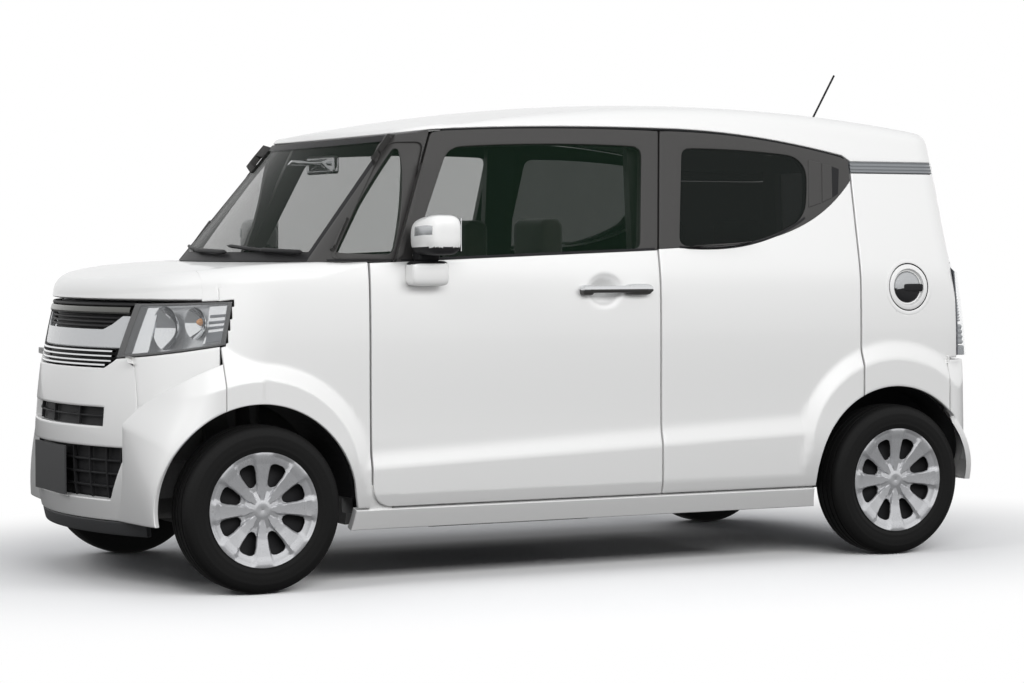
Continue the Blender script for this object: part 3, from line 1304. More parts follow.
def roof_half():
    """Grid (place up the wall, over the rim and in to the middle; station) of the left half of the
    roof."""
    low, high = np.full(sum(STATIONS), 1.5), np.full(sum(STATIONS), 1.6)
    for _ in range(30):
        x, y, kind = station(low)
        low += (roof_seam(x, y, kind) - low) * 0.6
        x, y, kind = station(high)
        high += (crown(x, y) - high) * 0.7
    high = np.maximum(high, low + 0.014)

    def wall(z):
        return points_at(*station(z)[:2], z)

    tip, below = wall(high), wall(high - 0.05)
    up = (tip - below) / np.linalg.norm(tip - below, axis=-1, keepdims=True)
    spine_x = np.clip(tip[:, 0], -1.30, 0.30)
    spine = points_at(spine_x, 0 * spine_x, crown(spine_x, 0))
    inner = tip + (spine - tip) * 0.02
    inner[:, 2] = crown(inner[:, 0], inner[:, 1]) + high - crown(tip[:, 0], tip[:, 1])
    run = (inner - tip) / np.maximum(np.linalg.norm(inner - tip, axis=-1, keepdims=True), 1e-9)
    bend = np.arccos(np.clip((up * run).sum(axis=-1), -1, 1))[:, None]
    reach = np.minimum(RIM * np.tan(bend / 2), (high - low)[:, None] * 0.92)
    a, b, weight = tip - up * reach, tip + run * reach, np.cos(bend / 2)
    climb = np.linspace(0, 1, 6)[:-1, None]
    base = [wall(low + (a[:, 2] - low) * t) for t in climb[:, 0]]
    t = np.linspace(0, 1, 14)[:, None, None]
    arc = ((1 - t) ** 2 * a + 2 * weight * t * (1 - t) * tip + t ** 2 * b) / (
        (1 - t) ** 2 + 2 * weight * t * (1 - t) + t ** 2)
    t = np.linspace(0, 1, 20)[1:, None, None]
    top = b + (spine - b) * t
    sink = b[:, 2] - crown(b[:, 0], b[:, 1])
    top[..., 2] = crown(top[..., 0], top[..., 1]) + sink * (1 - t[..., 0]) ** 3
    return np.concatenate([base, arc, top])


half = facing(sheet(roof_half()), 2)
roof = slab(both(half), 0.022, roll=0.003)
piece("roof_skin", roof, "paint", "body", ["roof"])
x, y = lattice((-1.50, 0.52, 60), (-0.50, 0.50, 40))
lining = slab(sheet(points_at(x, y, crown(x, y) - 0.040)), 0.006, roll=0.002)
piece("roof_lining", lining, "black_plastic", "body")
print("roof:", len(roof[1]), "faces")

# %% [markdown]
# ## Screen, front pillars and quarter panes
# The screen lies between its two slanted edges and the header, with a black printed border. Each
# front pillar is a ring between the screen's edge, the header, the front door and the belt on its
# outside, and the quarter pane on its inside, with a thin raised rim.

# %% Screen and pillars
def screen_edge(z):
    """Half width of the screen at a height."""
    return np.interp(z, (1.086, 1.580), (0.616, 0.540))


def screen_grid(inset, low=1.090, reach=1.0, rows=40, columns=48):
    """Screen patch (v, u): u across from edge to edge, v from the cowl to the header."""
    v, u = lattice((0, 1, rows), (-reach, reach, columns))
    peak = np.full_like(u, 1.52)
    for _ in range(14):
        row = cabin_row(peak)
        x = nose_point(nose_angle_at_y(np.abs(u) * screen_edge(peak), row), row)[0]
        peak += (header_z(x) - 0.005 - peak) * 0.55
    z = low + (peak - low) * v
    row = cabin_row(z)
    angle = np.copysign(nose_angle_at_y(np.abs(u) * screen_edge(z), row), u)
    x, y = nose_point(angle, row)
    return points_at(x - inset * np.cos(angle), y - inset * np.sin(angle), z)


def screen_border(c):
    """Faces of the printed border: near the slanted edges, the header and the cowl."""
    side = np.abs(c[:, 1]) > screen_edge(c[:, 2]) - 0.022
    return side | (c[:, 2] < 1.118) | (c[:, 2] > header_z(c[:, 0]) - 0.026)


screen = slab(sheet(screen_grid(0.004)), 0.005, roll=0.001)
piece("screen_pane", screen, "clear_glass", "body", ["windscreen"], second="black_plastic",
      in_second=screen_border)

PILLAR_SIDES = [((1.000, 1.091), (0.8265, 1.304), (0.646, 1.5245)),
                ((0.646, 1.5245), (0.595, 1.530), (0.544, 1.5355)),
                ((0.544, 1.5355), (0.634, 1.312), (0.7175, 1.094)),
                ((0.7175, 1.094), (0.860, 1.0925), (1.000, 1.091))]
PANE_SIDES = [((0.928, 1.122), (0.790, 1.318), (0.668, 1.474)),
              ((0.668, 1.474), None, (0.6535, 1.474)),
              ((0.6535, 1.474), (0.668, 1.300), (0.716, 1.114)),
              ((0.716, 1.114), None, (0.928, 1.122))]
RIM_SIDES = [((0.932, 1.102), (0.806, 1.305), (0.675, 1.497)),
             ((0.675, 1.497), None, (0.570, 1.497)),
             ((0.570, 1.497), (0.630, 1.300), (0.696, 1.100)),
             ((0.696, 1.100), None, (0.932, 1.102))]
pillar_edge = ring_line(PILLAR_SIDES, (0.004, 0.004, 0.004, 0.004), RING)
pane_edge = ring_line(PANE_SIDES, (0.03, 0.006, 0.006, 0.03), RING)
rim_edge = ring_line(RIM_SIDES, (0.03, 0.03, 0.03, 0.02), RING)
rows = np.linspace(0, 1, 7)[:, None, None]
inner = pane_edge + (rim_edge - pane_edge) * rows
outer = rim_edge + (pillar_edge - rim_edge) * rows
pillar = joined(slab(sheet(on_flank(ringed(inner), 0.005)), 0.020, roll=0.002),
                slab(sheet(on_flank(ringed(outer))), 0.026, roll=0.002))
band = rim_edge + (pillar_edge - rim_edge) * np.linspace(0, 0.16, 6)[:, None, None]
rim = slab(sheet(on_flank(ringed(band), -0.003)), 0.010, roll=0.002)
quarter_pane = slab(sheet(on_flank(pane_grid(pane_edge, grow=0.004), 0.006)), 0.004, roll=0.001)
piece("front_pillar_skins", both(joined(pillar, rim)), "dark_trim", "body", ["front_pillars"])
piece("quarter_panes", both(quarter_pane), "clear_glass", "body", ["quarter_glass"])
print("screen and pillars made")

# %% [markdown]
# ## Black seals
# A dark gutter lies between the roof and the doors, and black seals lie along the foot of the
# windows. They are strips along lines in the side view, lifted onto the flank.

# %% Seals
def flank_strip(line, wide, proud, deep=0.006, count=60, roll=0.0015):
    """Strip of a given width along a line in the side view, standing proud of the flank."""
    middle = along(line, np.linspace(0, 1, count))
    way = np.gradient(middle, axis=0)
    way /= np.linalg.norm(way, axis=1, keepdims=True)
    across = points_at(-way[:, 1], way[:, 0])
    grid = middle + across * (np.linspace(-0.5, 0.5, 5) * wide)[:, None, None]
    return slab(facing(sheet(on_flank(grid, -proud)), 1), deep, roll=roll)


gutter = flank_strip(np.vstack([ROOF_SIDE_FRONT[2:], ROOF_SIDE_REAR[1:]]) - (0, 0.0035), 0.008,
                     -0.008, 0.014)
belt_front = flank_strip([(-0.300, 1.1335), (0.690, 1.0955)], 0.009, 0.001)
belt_rear = flank_strip(bowed((-0.946, 1.247), (-0.700, 1.152), (-0.402, 1.1405)), 0.009, 0.001)
foot_line = flank_strip([(0.722, 1.0985), (0.950, 1.0965)], 0.007, 0.001)
piece("gutters", both(gutter), "black_plastic", "body")
piece("pillar_foot_seals", both(foot_line), "black_plastic", "body")
for side, turn in SIDES:
    piece(f"belt_seal_front_{side}", turn(belt_front), "black_plastic", f"door_front_{side}")
    piece(f"belt_seal_rear_{side}", turn(belt_rear), "black_plastic", f"door_rear_{side}")
print("seals made")

# %% [markdown]
# ## Mirrors, handles and flap
# Small mouldings are pebbles: superellipse sections in one plane, shrunk towards two closed ends
# along the third axis. Door handles stand over a dished cup, and the round fuel flap carries a
# domed cap with a lever.

# %% Small mouldings
def power(wave, soft):
    """Signed power of a wave, which squares up a circle as soft falls below one."""
    return np.sign(wave) * np.abs(wave) ** soft


def pebble(low, high, along_axis=1, soft=0.55, ends=0.5, around=40, steps=22):
    """Closed rounded solid in a box: superellipse sections shrunk towards both ends of one axis."""
    low, high = np.asarray(low, float), np.asarray(high, float)
    middle, half = (low + high) / 2, (high - low) / 2
    turn = np.linspace(-np.pi / 2, np.pi / 2, steps)[:, None]
    t = np.linspace(0, 2 * np.pi, around)[None]
    shrink = np.clip(np.cos(turn), 0, None) ** ends
    first, second = [i for i in range(3) if i != along_axis]
    grid = np.zeros((steps, around, 3))
    grid[..., along_axis] = middle[along_axis] + half[along_axis] * power(np.sin(turn), ends)
    grid[..., first] = middle[first] + half[first] * shrink * power(np.cos(t), soft)
    grid[..., second] = middle[second] + half[second] * shrink * power(np.sin(t), soft)
    return outward(grid)


def outward(grid):
    """Closed grid as faces that look away from its middle."""
    mesh = sheet(grid)
    away = mesh[0] - mesh[0].mean(axis=0)
    return mesh if np.sum(vertex_normals(*mesh) * away) > 0 else sheet(grid, flip=True)


HEAD_STEPS, HEAD_AROUND = 34, 56
mirror_low, mirror_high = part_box("mirror_left")
head_low = (mirror_high[0] - 0.149, 0.737, 1.112)
head_high = (mirror_high[0] - 0.001, mirror_high[1] - 0.001, 1.249)


def mirror_head():
    """Mirror housing: a pebble across the car, its front face swept back and its foot narrowed."""
    points, quads = pebble(head_low, head_high, 1, 0.5, 0.42, HEAD_AROUND, HEAD_STEPS)
    points = points.copy()
    part = (points[:, 1] - head_low[1]) / (head_high[1] - head_low[1])
    rise = (points[:, 2] - head_low[2]) / (head_high[2] - head_low[2])
    sweep = 0.30 * part ** 2 + 0.18 * (rise - 0.5) ** 2
    points[:, 0] -= np.clip(points[:, 0] - head_low[0] - 0.03, 0, None) * sweep
    points[:, 2] -= np.clip(rise, 0, 1) * 0.020 * (1 - part) ** 2
    return points, quads


def mirror_lamp(proud):
    """Indicator strip: the first lines of the housing's own grid, which climb its front face, moved
    forwards."""
    grid = mirror_head()[0].reshape(HEAD_STEPS, HEAD_AROUND, 3)
    place = grid[:, 0, 1]
    strip = grid[(place > head_low[1] + 0.045) & (place < head_high[1] - 0.010), :3] + (proud, 0, 0)
    return facing(sheet(strip), 0)


head = mirror_head()
z, y = lattice((1.126, 1.236, 8), (head_low[1] + 0.014, head_high[1] - 0.014, 12))
glass = slab(sheet(points_at(head_low[0] + 0.003, y, z), flip=True), 0.003, roll=0.001)
arm = joined(pebble((head_low[0] + 0.035, 0.698, 1.090), (head_low[0] + 0.115, 0.765, 1.135), 0,
                    0.5, 0.4),
             pebble((head_low[0] + 0.040, 0.722, 1.085), (head_low[0] + 0.105, 0.760, 1.150), 0,
                    0.6, 0.4))
lamp = slab(mirror_lamp(0.0030), 0.002, roll=0.001)
lamp_back = slab(mirror_lamp(0.0015), 0.004, roll=0.001)
for side, turn in SIDES:
    door = f"door_front_{side}"
    piece(f"mirror_head_{side}", turn(head), "paint", door, [f"mirror_{side}"],
          second="black_plastic",
          in_second=lambda c: (c[:, 2] < 1.139) | (c[:, 0] < head_low[0] + 0.008))
    piece(f"mirror_glass_{side}", turn(glass), "mirror_glass", door)
    piece(f"mirror_arm_{side}", turn(arm), "black_plastic", door)
    piece(f"mirror_lamp_{side}", turn(lamp), "lamp_clear", door)
    piece(f"mirror_lamp_back_{side}", turn(lamp_back), "chrome_soft", door)
if mirror_low[2] < 1.05:
    pod = pebble((0.5415, 0.700, 1.009), (0.679, 0.771, 1.094), 0, 0.42, 0.3, 56, 34)
    piece("mirror_pod", pod, "paint", "door_front_left", second="black_plastic",
          in_second=lambda c: c[:, 2] > 1.085 - 0.06 * np.clip(c[:, 0] - 0.62, 0, None))

handle = joined(pebble((-0.2645, 0.7225, 0.9805), (0.0135, 0.7475, 1.0055), 0, 0.6, 0.25, 28, 30),
                pebble((-0.2645, 0.700, 0.972), (-0.165, 0.745, 1.012), 0, 0.6, 0.5, 28, 20),
                pebble((-0.030, 0.700, 0.972), (0.0140, 0.745, 1.009), 0, 0.6, 0.5, 28, 20))
key = pebble((-0.224, 0.738, 0.985), (-0.208, 0.7465, 1.001), 1, 1.0, 0.5, 20, 8)
for side, turn in SIDES:
    piece(f"handle_{side}", turn(handle), "chrome", f"door_front_{side}", second="dark_trim",
          in_second=lambda c: c[:, 2] < 0.9905)
    piece(f"key_hole_{side}", turn(key), "black_plastic", f"door_front_{side}")
print("mirrors and handles made")

# %% Fuel flap
def flap_disc(*profile):
    """Round sheet on the flank from (radius, height) points, walked round its middle."""
    radius, height = np.array(profile).T[..., None]
    t = np.linspace(0, 2 * np.pi, 73)[None]
    x, z = FLAP_X + radius * np.cos(t), FLAP_Z + radius * np.sin(t)
    return facing(sheet(points_at(x, flank(x, z) + height, z)), 1)


flap = slab(flap_disc((0.0005, -0.011), (0.060, -0.011), (0.0635, -0.010), (0.066, -0.003),
                      (0.068, 0.0), (0.0845, 0.0)), 0.008, roll=0.002)
cap = flap_disc((0.0005, 0.001), (0.02, 0.0005), (0.040, -0.001), (0.052, -0.004), (0.0575, -0.008),
                (0.0585, -0.0105))
lever = pebble((FLAP_X - 0.064, 0.700, FLAP_Z - 0.017), (FLAP_X + 0.022, 0.7135, FLAP_Z + 0.012), 0,
               0.45, 0.35, 32, 20)
piece("flap_skin", flap, "paint", "fuel_flap", ["fuel_flap"])
piece("flap_cap", cap, "chrome_soft", "fuel_flap", second="black_plastic",
      in_second=lambda c: c[:, 2] < FLAP_Z - 0.006)
piece("flap_lever", lever, "black_plastic", "fuel_flap")
edge_ring = slab(flap_disc((0.0885, 0.0), (0.092, 0.0005), (0.100, 0.0005), (0.104, 0.0003)), 0.003,
                 roll=0.001)
pocket = flap_disc((0.0005, -0.030), (0.05, -0.030), (0.092, -0.028), (0.0935, -0.004))
piece("flap_edge", edge_ring, "paint", "body")
piece("flap_pocket", pocket, "black_plastic", "body")
print("fuel flap made")

# %% [markdown]
# ## Rear corner
# A ribbed grey garnish runs below the roof, a slatted grip hides the rear door's handle, and tall
# clear lamps wrap round the tail corner.

# %% Garnish and grip
def garnish_grid():
    """Garnish band with three shallow ribs, a cosine of height."""
    z, x = lattice((1.4165, 1.4545, 37), (-1.5865, -1.170, 30))
    rib = 0.0015 * np.cos((z - 1.4165) / 0.038 * 6 * np.pi)
    return points_at(x, flank(x, z) - 0.002 + rib, z)


garnish = slab(sheet(garnish_grid(), flip=True), 0.010, roll=0.001)
piece("garnish_bands", both(garnish), "grey_plastic", "body", ["pillar_garnishes"])
SLATS = [
    # four corners (x, z) of a patch on the rear window frame: lower rear, lower front, upper rear,
    # upper front
    ("slat", (-1.021, 1.300), (-0.966, 1.284), (-1.037, 1.449), (-0.986, 1.460)),
    ("slat", (-1.072, 1.320), (-1.028, 1.303), (-1.084, 1.438), (-1.044, 1.447)),
    ("hollow", (-1.103, 1.334), (-1.074, 1.320), (-1.118, 1.428), (-1.086, 1.438)),
]
SLAT_PROUD = {"slat": 0.0025, "hollow": 0.0005}
made = {"slat": [], "hollow": []}
for kind, *corners in SLATS:
    flat = on_flank(patch(*corners, 12, 24), -SLAT_PROUD[kind])
    made[kind].append(slab(sheet(flat, flip=True), 0.008, roll=0.002))
for side, turn in SIDES:
    piece(f"grip_slats_{side}", turn(joined(*made["slat"])), "dark_trim", f"door_rear_{side}")
    piece(f"grip_hollow_{side}", turn(joined(*made["hollow"])), "black_plastic",
          f"door_rear_{side}")


# %% Tail lamps
def tail_place(part, z, inset=0.0):
    """Round the tail corner by length: straight on from the quarter's edge, round an arc tighter
    than the body's own, so that the lamp stands out at the corner, and in to the tailgate's shut
    line."""
    lower = np.clip(z, 0.19, 1.05)
    row = np.where((z > 1.05)[..., None], cabin_row(z), lower_row(lower))
    tail, tail_r, half = row[..., 4], row[..., 5], row[..., 0]
    side_y = half - tail_r + np.sqrt(tail_r ** 2 - (tail + TAIL_BOW + tail_r
                                                    - TAIL_LAMP_X) ** 2) - 0.0005
    corner = np.clip(TAIL_LAMP_X - tail - TAIL_BOW, 0.012, 0.040)
    centre = tail + TAIL_BOW + corner
    first, arc = np.maximum(TAIL_LAMP_X - centre, 0), corner * np.pi / 2
    run = part * (first + arc + side_y - corner - 0.602)
    turn = np.clip((run - first) / corner, 0, np.pi / 2)
    inner, sunk = np.maximum(corner - inset, 0.002), np.maximum(inset - corner + 0.002, 0)
    x = centre + sunk - inner * np.sin(turn) + np.maximum(first - run, 0)
    y = side_y - corner - sunk + inner * np.cos(turn) - np.maximum(run - first - arc, 0)
    return points_at(x, y, z + 0 * x)


def tail_patch(low, high, inset=0.0, parts=(0.0, 1.0), rows=14, wave=0.0, waves=10):
    """Patch of the tail lamp between two heights, with ribs of a given depth."""
    z, part = lattice((low, high, rows), (*parts, 16))
    rib = wave * np.cos((z - low) / (high - low) * 2 * np.pi * waves)
    return facing(sheet(tail_place(part, z, inset + rib)), 0, -1)


tail_clear = slab(tail_patch(0.7335, 1.1705, 0.001, rows=50), 0.004, roll=0.002)
tail_ribs = slab(tail_patch(0.86, 1.035, 0.014, (0.05, 0.97), 90, 0.002, 16), 0.004, roll=0.001)
tail_grey = joined(slab(tail_patch(1.150, 1.1695, 0.006), 0.006),
                   slab(tail_patch(1.085, 1.142, 0.006), 0.006),
                   slab(tail_patch(0.775, 0.85, 0.010, wave=0.002, waves=4, rows=30), 0.006),
                   slab(tail_patch(1.04, 1.078, 0.010), 0.006),
                   slab(tail_patch(0.735, 0.770, 0.006), 0.006))
tail_dark = joined(slab(tail_patch(0.7335, 1.1705, 0.030, rows=30), 0.006),
                   slab(tail_patch(1.143, 1.149, 0.003), 0.008),
                   slab(tail_patch(1.079, 1.084, 0.003), 0.008),
                   slab(tail_patch(0.736, 1.168, 0.002, (0.0, 0.05), 30), 0.02, roll=0.001))
for name, mesh, finish in (("clear", tail_clear, "lamp_clear"),
                           ("ribs", tail_ribs, "grille_silver"),
                           ("grey", tail_grey, "grey_plastic"), ("dark", tail_dark, "lamp_grey")):
    piece("tail_lamp_" + name, both(mesh), finish, "body",
          ["tail_lamps"] if name == "clear" else ())
print("rear corner made")

# %% [markdown]
# ## Tail
# The tailgate is a grid between its slanted sides, with lines laid along the edges of its window,
# which is left out. The rear bumper goes from arch to arch round both corners, with its upper edge
# lowered under the tailgate.

# %% Tailgate
GATE_WINDOW_Z, GATE_WINDOW_Y = (1.110, 1.445), (0.505, 0.470)
GATE_COLUMNS = (8, 60, 8)


def tail_surface(y, z):
    """Tail x(y, z): lower body, rounded over at its shoulder, and glass-house, whichever stands
    further back."""
    low = tail_at(y, lower_row(np.clip(z, 0.19, 1.09)))
    shoulder = np.clip(z - 1.031, 0, 0.0595)
    low = low + 0.060 - np.sqrt(0.060 ** 2 - shoulder ** 2) + np.clip(z - 1.0905, 0, None)
    return np.where(z > 0.98, soft_least(low, tail_at(y, cabin_row(z)), 0.003), low)


def gate_grid():
    """Tailgate face and the mask that leaves its window out, with a shallow dish for the plate."""
    ends = (0.490, 0.68, 0.88, GATE_WINDOW_Z[0], GATE_WINDOW_Z[1], 1.520)
    z = graded(ends, (14, 24, 20, 26, 8))[:, None]
    side = np.interp(z, (1.180, 1.524), (0.588, 0.531))
    window = np.interp(z, GATE_WINDOW_Z, GATE_WINDOW_Y)
    y = graded([-side, -window, window, side], GATE_COLUMNS)
    z = np.broadcast_to(z, y.shape)
    inward = (0.195 - np.abs(y)) / 0.02, (0.105 - np.abs(z - 0.780)) / 0.02
    dish = np.clip(inward[0], 0, 1) * np.clip(inward[1], 0, 1)
    x = tail_surface(y, z) + 0.014 * dish * dish * (3 - 2 * dish)
    middle = (z[:-1, :1] + z[1:, :1]) / 2
    hole = between(middle, GATE_WINDOW_Z) & np.repeat((False, True, False), GATE_COLUMNS)
    return points_at(x, y, z), ~hole


def facing_back(grid, keep=None):
    """Grid as faces that look to the rear."""
    return facing(sheet(grid, keep), 0, -1)


grid, stays = gate_grid()
gate = slab(facing_back(grid, stays), 0.040, roll=0.003)
piece("gate_skin", gate, "paint", "tailgate", ["tailgate"])
z, part = lattice((1.106, 1.449, 30), (-1, 1, 40))
y = part * (np.interp(z, GATE_WINDOW_Z, GATE_WINDOW_Y) + 0.004)
gate_pane = slab(facing_back(points_at(tail_surface(y, z) + 0.006, y, z)), 0.004, roll=0.001)
piece("gate_pane", gate_pane, "dark_glass", "tailgate", ["tailgate_glass"])
z, part = lattice((0.900, 0.930, 8), (-0.24, 0.24, 30))
grip = slab(facing_back(points_at(tail_surface(part, z) - 0.001, part, z)), 0.012, roll=0.002)
piece("gate_grip", grip, "chrome_soft", "tailgate")
print("tailgate:", len(gate[1]), "faces")


# %% Rear bumper and sills
def rear_bumper():
    """Half the rear bumper (height, station): bow, corner arc up to the arch, then the side up to
    its shut line."""
    level = np.linspace(0, 1, 46)[:, None]
    counts = (26, 34, 14)
    top_y = np.concatenate([np.linspace(0, 1, n) for n in counts])[None]
    kind = np.repeat(np.arange(3), counts)[None]
    z = 0.27 + level * 0.45 + 0 * top_y
    for _ in range(4):
        row = lower_row(z)
        half, tail, tail_r = (row[..., i] for i in (0, 4, 5))
        back = tail + TAIL_BOW + tail_r
        arch = REAR_ARCH_X - np.sqrt(np.clip(ARCH_R ** 2 - (z - ARCH_Z) ** 2, 0, None)) - 0.003
        end = np.minimum(-1.5515, arch)
        widest = np.arccos(np.clip((back - end) / tail_r, 0, 1))
        turn = widest * top_y
        x = np.choose(kind, [tail + TAIL_BOW * top_y ** 2, back - tail_r * np.cos(turn),
                             np.minimum(back, end) + (end - np.minimum(back, end)) * top_y])
        y = np.choose(kind, [(half - tail_r) * top_y, half - tail_r + tail_r * np.sin(turn),
                             half + 0 * x])
        high = np.interp(y, (0.5985, 0.603), (0.476, 0.719))
        z = 0.268 + (high - 0.268) * level
    swell = np.clip(flank(x, z) - half_width(x, row), 0, None)
    y = y + swell * np.choose(kind, [0 * y, np.sin(turn) ** 2, 1 + 0 * y])
    return points_at(x, y, z)


half = facing_back(rear_bumper())
bumper = slab(both(half), 0.024, roll=0.003, back=False)
piece("rear_bumper_skin", bumper, "paint", "body", ["rear_bumper"])
z, part = lattice((0.193, 0.261, 14), (0, 1, 60))
reach = np.sqrt(ARCH_R ** 2 - (z - ARCH_Z) ** 2) + 0.003
x = REAR_ARCH_X + reach + (FRONT_ARCH_X - reach - REAR_ARCH_X - reach) * part
sill = slab(sheet(points_at(x, flank(x, z), z), flip=True), 0.030, roll=0.003)
piece("sill_skins", both(sill), "paint", "body", ["sills"])
turn, part = np.meshgrid(np.radians(np.linspace(95, 181, 40)), np.linspace(0, 1, 8), indexing="ij")
x, z = REAR_ARCH_X + (ARCH_R + 0.004) * np.cos(turn), ARCH_Z + (ARCH_R + 0.004) * np.sin(turn)
half, tail, tail_r = (lower_row(z)[..., i] for i in (0, 4, 5))
bent = np.clip(tail + TAIL_BOW + tail_r - x, 0, tail_r)
outer = np.minimum(0.712, half - tail_r + np.sqrt(tail_r ** 2 - bent ** 2) - 0.030)
back = slab(sheet(points_at(x, 0.46 + (outer - 0.46) * part, z)), 0.003, roll=0.001)
piece("rear_arch_backs", both(back), "black_plastic", "body")
print("rear bumper and sills made")


# %% Wipers
def screen_bar(ends, heights, proud, radius, count=40):
    """Round bar lying on the screen from one (u, z) to another."""
    u, z = np.linspace(*ends, count)[:, None], np.linspace(*heights, count)[:, None]
    row = cabin_row(z)
    angle = np.copysign(nose_angle_at_y(np.abs(u) * screen_edge(z), row), u)
    x, y = nose_point(angle, row)
    t = np.linspace(0, 2 * np.pi, 15)[None]
    taper = np.clip(np.minimum(np.linspace(0, 1, count), np.linspace(1, 0, count)) * 12, 0.02,
                    1)[:, None]
    out = proud + radius * taper * np.cos(t)
    lift = radius * taper * np.sin(t)
    grid = np.stack([x + (out * 0.76 - lift * 0.65) * np.cos(angle), y + out * np.sin(angle),
                     z + out * 0.55 + lift * 0.76],
                    axis=-1)
    return outward(grid)


BLADE, ARM = ((1.112, 1.142), 0.007, 0.007), ((1.116, 1.124), 0.011, 0.009)
wipers = joined(screen_bar((0.93, 0.10), *BLADE), screen_bar((0.12, -0.86), *BLADE),
                screen_bar((0.95, 0.55), *ARM), screen_bar((0.20, -0.40), *ARM))
piece("wiper_blades", wipers, "black_plastic", "body")
print("wipers made")

# %% [markdown]
# ## Wheels
# A tyre is a profile of width and radius turned round the axle, with four grooves in the tread and
# raised rings on the wall. The cover has eight spokes: a polar grid whose lines follow the edges of
# the openings, which are left out.

# %% Wheels
HUB_Z, WHEEL_Y, FRONT_AXLE, REAR_AXLE = 0.2785, 0.6525, 1.1975, -1.3225
TYRE_LINE = [
    # width from the middle plane, radius
    (-0.063, 0.178), (-0.068, 0.186), (-0.0725, 0.200), (-0.0755, 0.216), (-0.0768, 0.232),
    (-0.075, 0.248),
    (-0.070, 0.262), (-0.062, 0.271), (-0.055, 0.2748), (-0.0445, 0.2762), (-0.044, 0.270),
    (-0.038, 0.270),
    (-0.0375, 0.2770), (-0.0175, 0.2778), (-0.017, 0.270), (-0.011, 0.270), (-0.0105, 0.2779),
    (0.0105, 0.2779),
    (0.011, 0.270), (0.017, 0.270), (0.0175, 0.2778), (0.0375, 0.2770), (0.038, 0.270),
    (0.044, 0.270),
    (0.0445, 0.2762), (0.055, 0.2748), (0.062, 0.271), (0.066, 0.2675), (0.070, 0.262),
    (0.0735, 0.254),
    (0.0750, 0.2475), (0.0762, 0.2445), (0.0757, 0.2415), (0.0768, 0.232), (0.0763, 0.222),
    (0.0755, 0.216),
    (0.0748, 0.210), (0.0752, 0.2075), (0.0740, 0.204), (0.0725, 0.200), (0.070, 0.193),
    (0.068, 0.186), (0.063, 0.178),
]
COVER_LINE = [
    # radius, height out from the middle plane
    (0.0008, 0.0590), (0.020, 0.0590), (0.027, 0.0586), (0.030, 0.0570), (0.042, 0.0572),
    (0.062, 0.0580), (0.078, 0.0588),
    (0.098, 0.0602), (0.120, 0.0635), (0.140, 0.0662), (0.153, 0.0680), (0.160, 0.0700),
    (0.168, 0.0722), (0.178, 0.0736), (0.186, 0.0738), (0.1895, 0.0732), (0.1910, 0.0710),
]
WINDOW_R = (0.079, 0.083, 0.092, 0.125, 0.147, 0.153, 0.156)
WINDOW_HALF = (0.06, 0.12, 0.17, 0.198, 0.185, 0.15, 0.08)
BLADE_R = (0.034, 0.050, 0.062, 0.092, 0.125, 0.160, 0.184)
BLADE_EDGE = (0.22, 0.16, 0.15, 0.19, 0.215, 0.205, 0.19)

COVER_COLUMNS = (8, 7, 8)


def turned(profile, count):
    """Rings of a (width, radius) profile about the wheel's axle, in the wheel's own place."""
    width, radius = np.array(profile).T[..., None]
    t = np.linspace(0, 2 * np.pi, count)[None]
    return points_at(radius * np.cos(t), width, radius * np.sin(t))


def cover_grid(spokes=8):
    """Cover face and its mask: in each eighth the columns go blade, opening, blade, and rows
    between two radii drop the opening. Between the blades' edges the face drops by a smoothstep,
    which runs out at the hub and at the rim."""
    knots = np.array(COVER_LINE)
    radius = np.unique(np.concatenate(
        [knots[:, 0], WINDOW_R, np.linspace(WINDOW_R[0], WINDOW_R[-1], 20),
         np.linspace(0.034, 0.186, 34)]))[:, None]
    half = np.interp(radius, WINDOW_R, WINDOW_HALF)
    sector = np.pi / spokes
    marks = [-sector + 0 * half, -half, half, sector + 0 * half]
    local = graded(marks, COVER_COLUMNS)[:, :-1]
    angle = np.concatenate([local + 2 * sector * (k + 0.5) for k in range(spokes)], axis=1)
    angle = np.concatenate([angle, angle[:, :1] + 2 * np.pi], axis=1)
    local = ringed(np.tile(local, spokes))
    height = np.interp(radius, *knots.T)
    on_blade = np.clip((np.abs(local) - np.interp(radius, BLADE_R, BLADE_EDGE)) / 0.05 + 0.5, 0, 1)
    runs_out = np.clip((radius - 0.032) / 0.03, 0, 1) * np.clip((0.1885 - radius) / 0.010, 0, 1)
    height = height - 0.009 * runs_out * (1 - on_blade ** 2 * (3 - 2 * on_blade))
    middle = (radius[:-1] + radius[1:]) / 2
    hole = between(middle, WINDOW_R) & np.tile(np.repeat((False, True, False), COVER_COLUMNS),
                                               spokes)
    return points_at(radius * np.cos(angle), height, radius * np.sin(angle)), ~hole


tyre = outward(turned(TYRE_LINE, 121))
cover = slab(facing(sheet(*cover_grid()), 1), 0.007, roll=0.0015, back=False)
barrel = outward(turned([(-0.060, 0.168), (-0.0625, 0.1775), (0.0625, 0.1775), (0.066, 0.186),
                         (0.060, 0.168), (0.02, 0.160), (-0.060, 0.166), (-0.060, 0.168)], 97))
plate = facing(sheet(turned([(0.030, 0.012), (0.034, 0.060), (0.026, 0.090), (0.020, 0.140),
                             (0.030, 0.166)], 97)), 1)
nuts = [pebble((0.050 * math.cos(a) - 0.008, 0.030, 0.050 * math.sin(a) - 0.008),
               (0.050 * math.cos(a) + 0.008, 0.048, 0.050 * math.sin(a) + 0.008), 1, 0.8, 0.4, 16,
               8)
        for a in np.radians((45, 135, 225, 315))]
inside = joined(barrel, slab(plate, 0.006), *nuts)


def at_wheel(mesh, x, side):
    """Mesh of a wheel moved to its place, mirrored on the right."""
    moved = mesh[0] + (x, WHEEL_Y, HUB_Z), mesh[1]
    return moved if side == "left" else mirrored(moved)


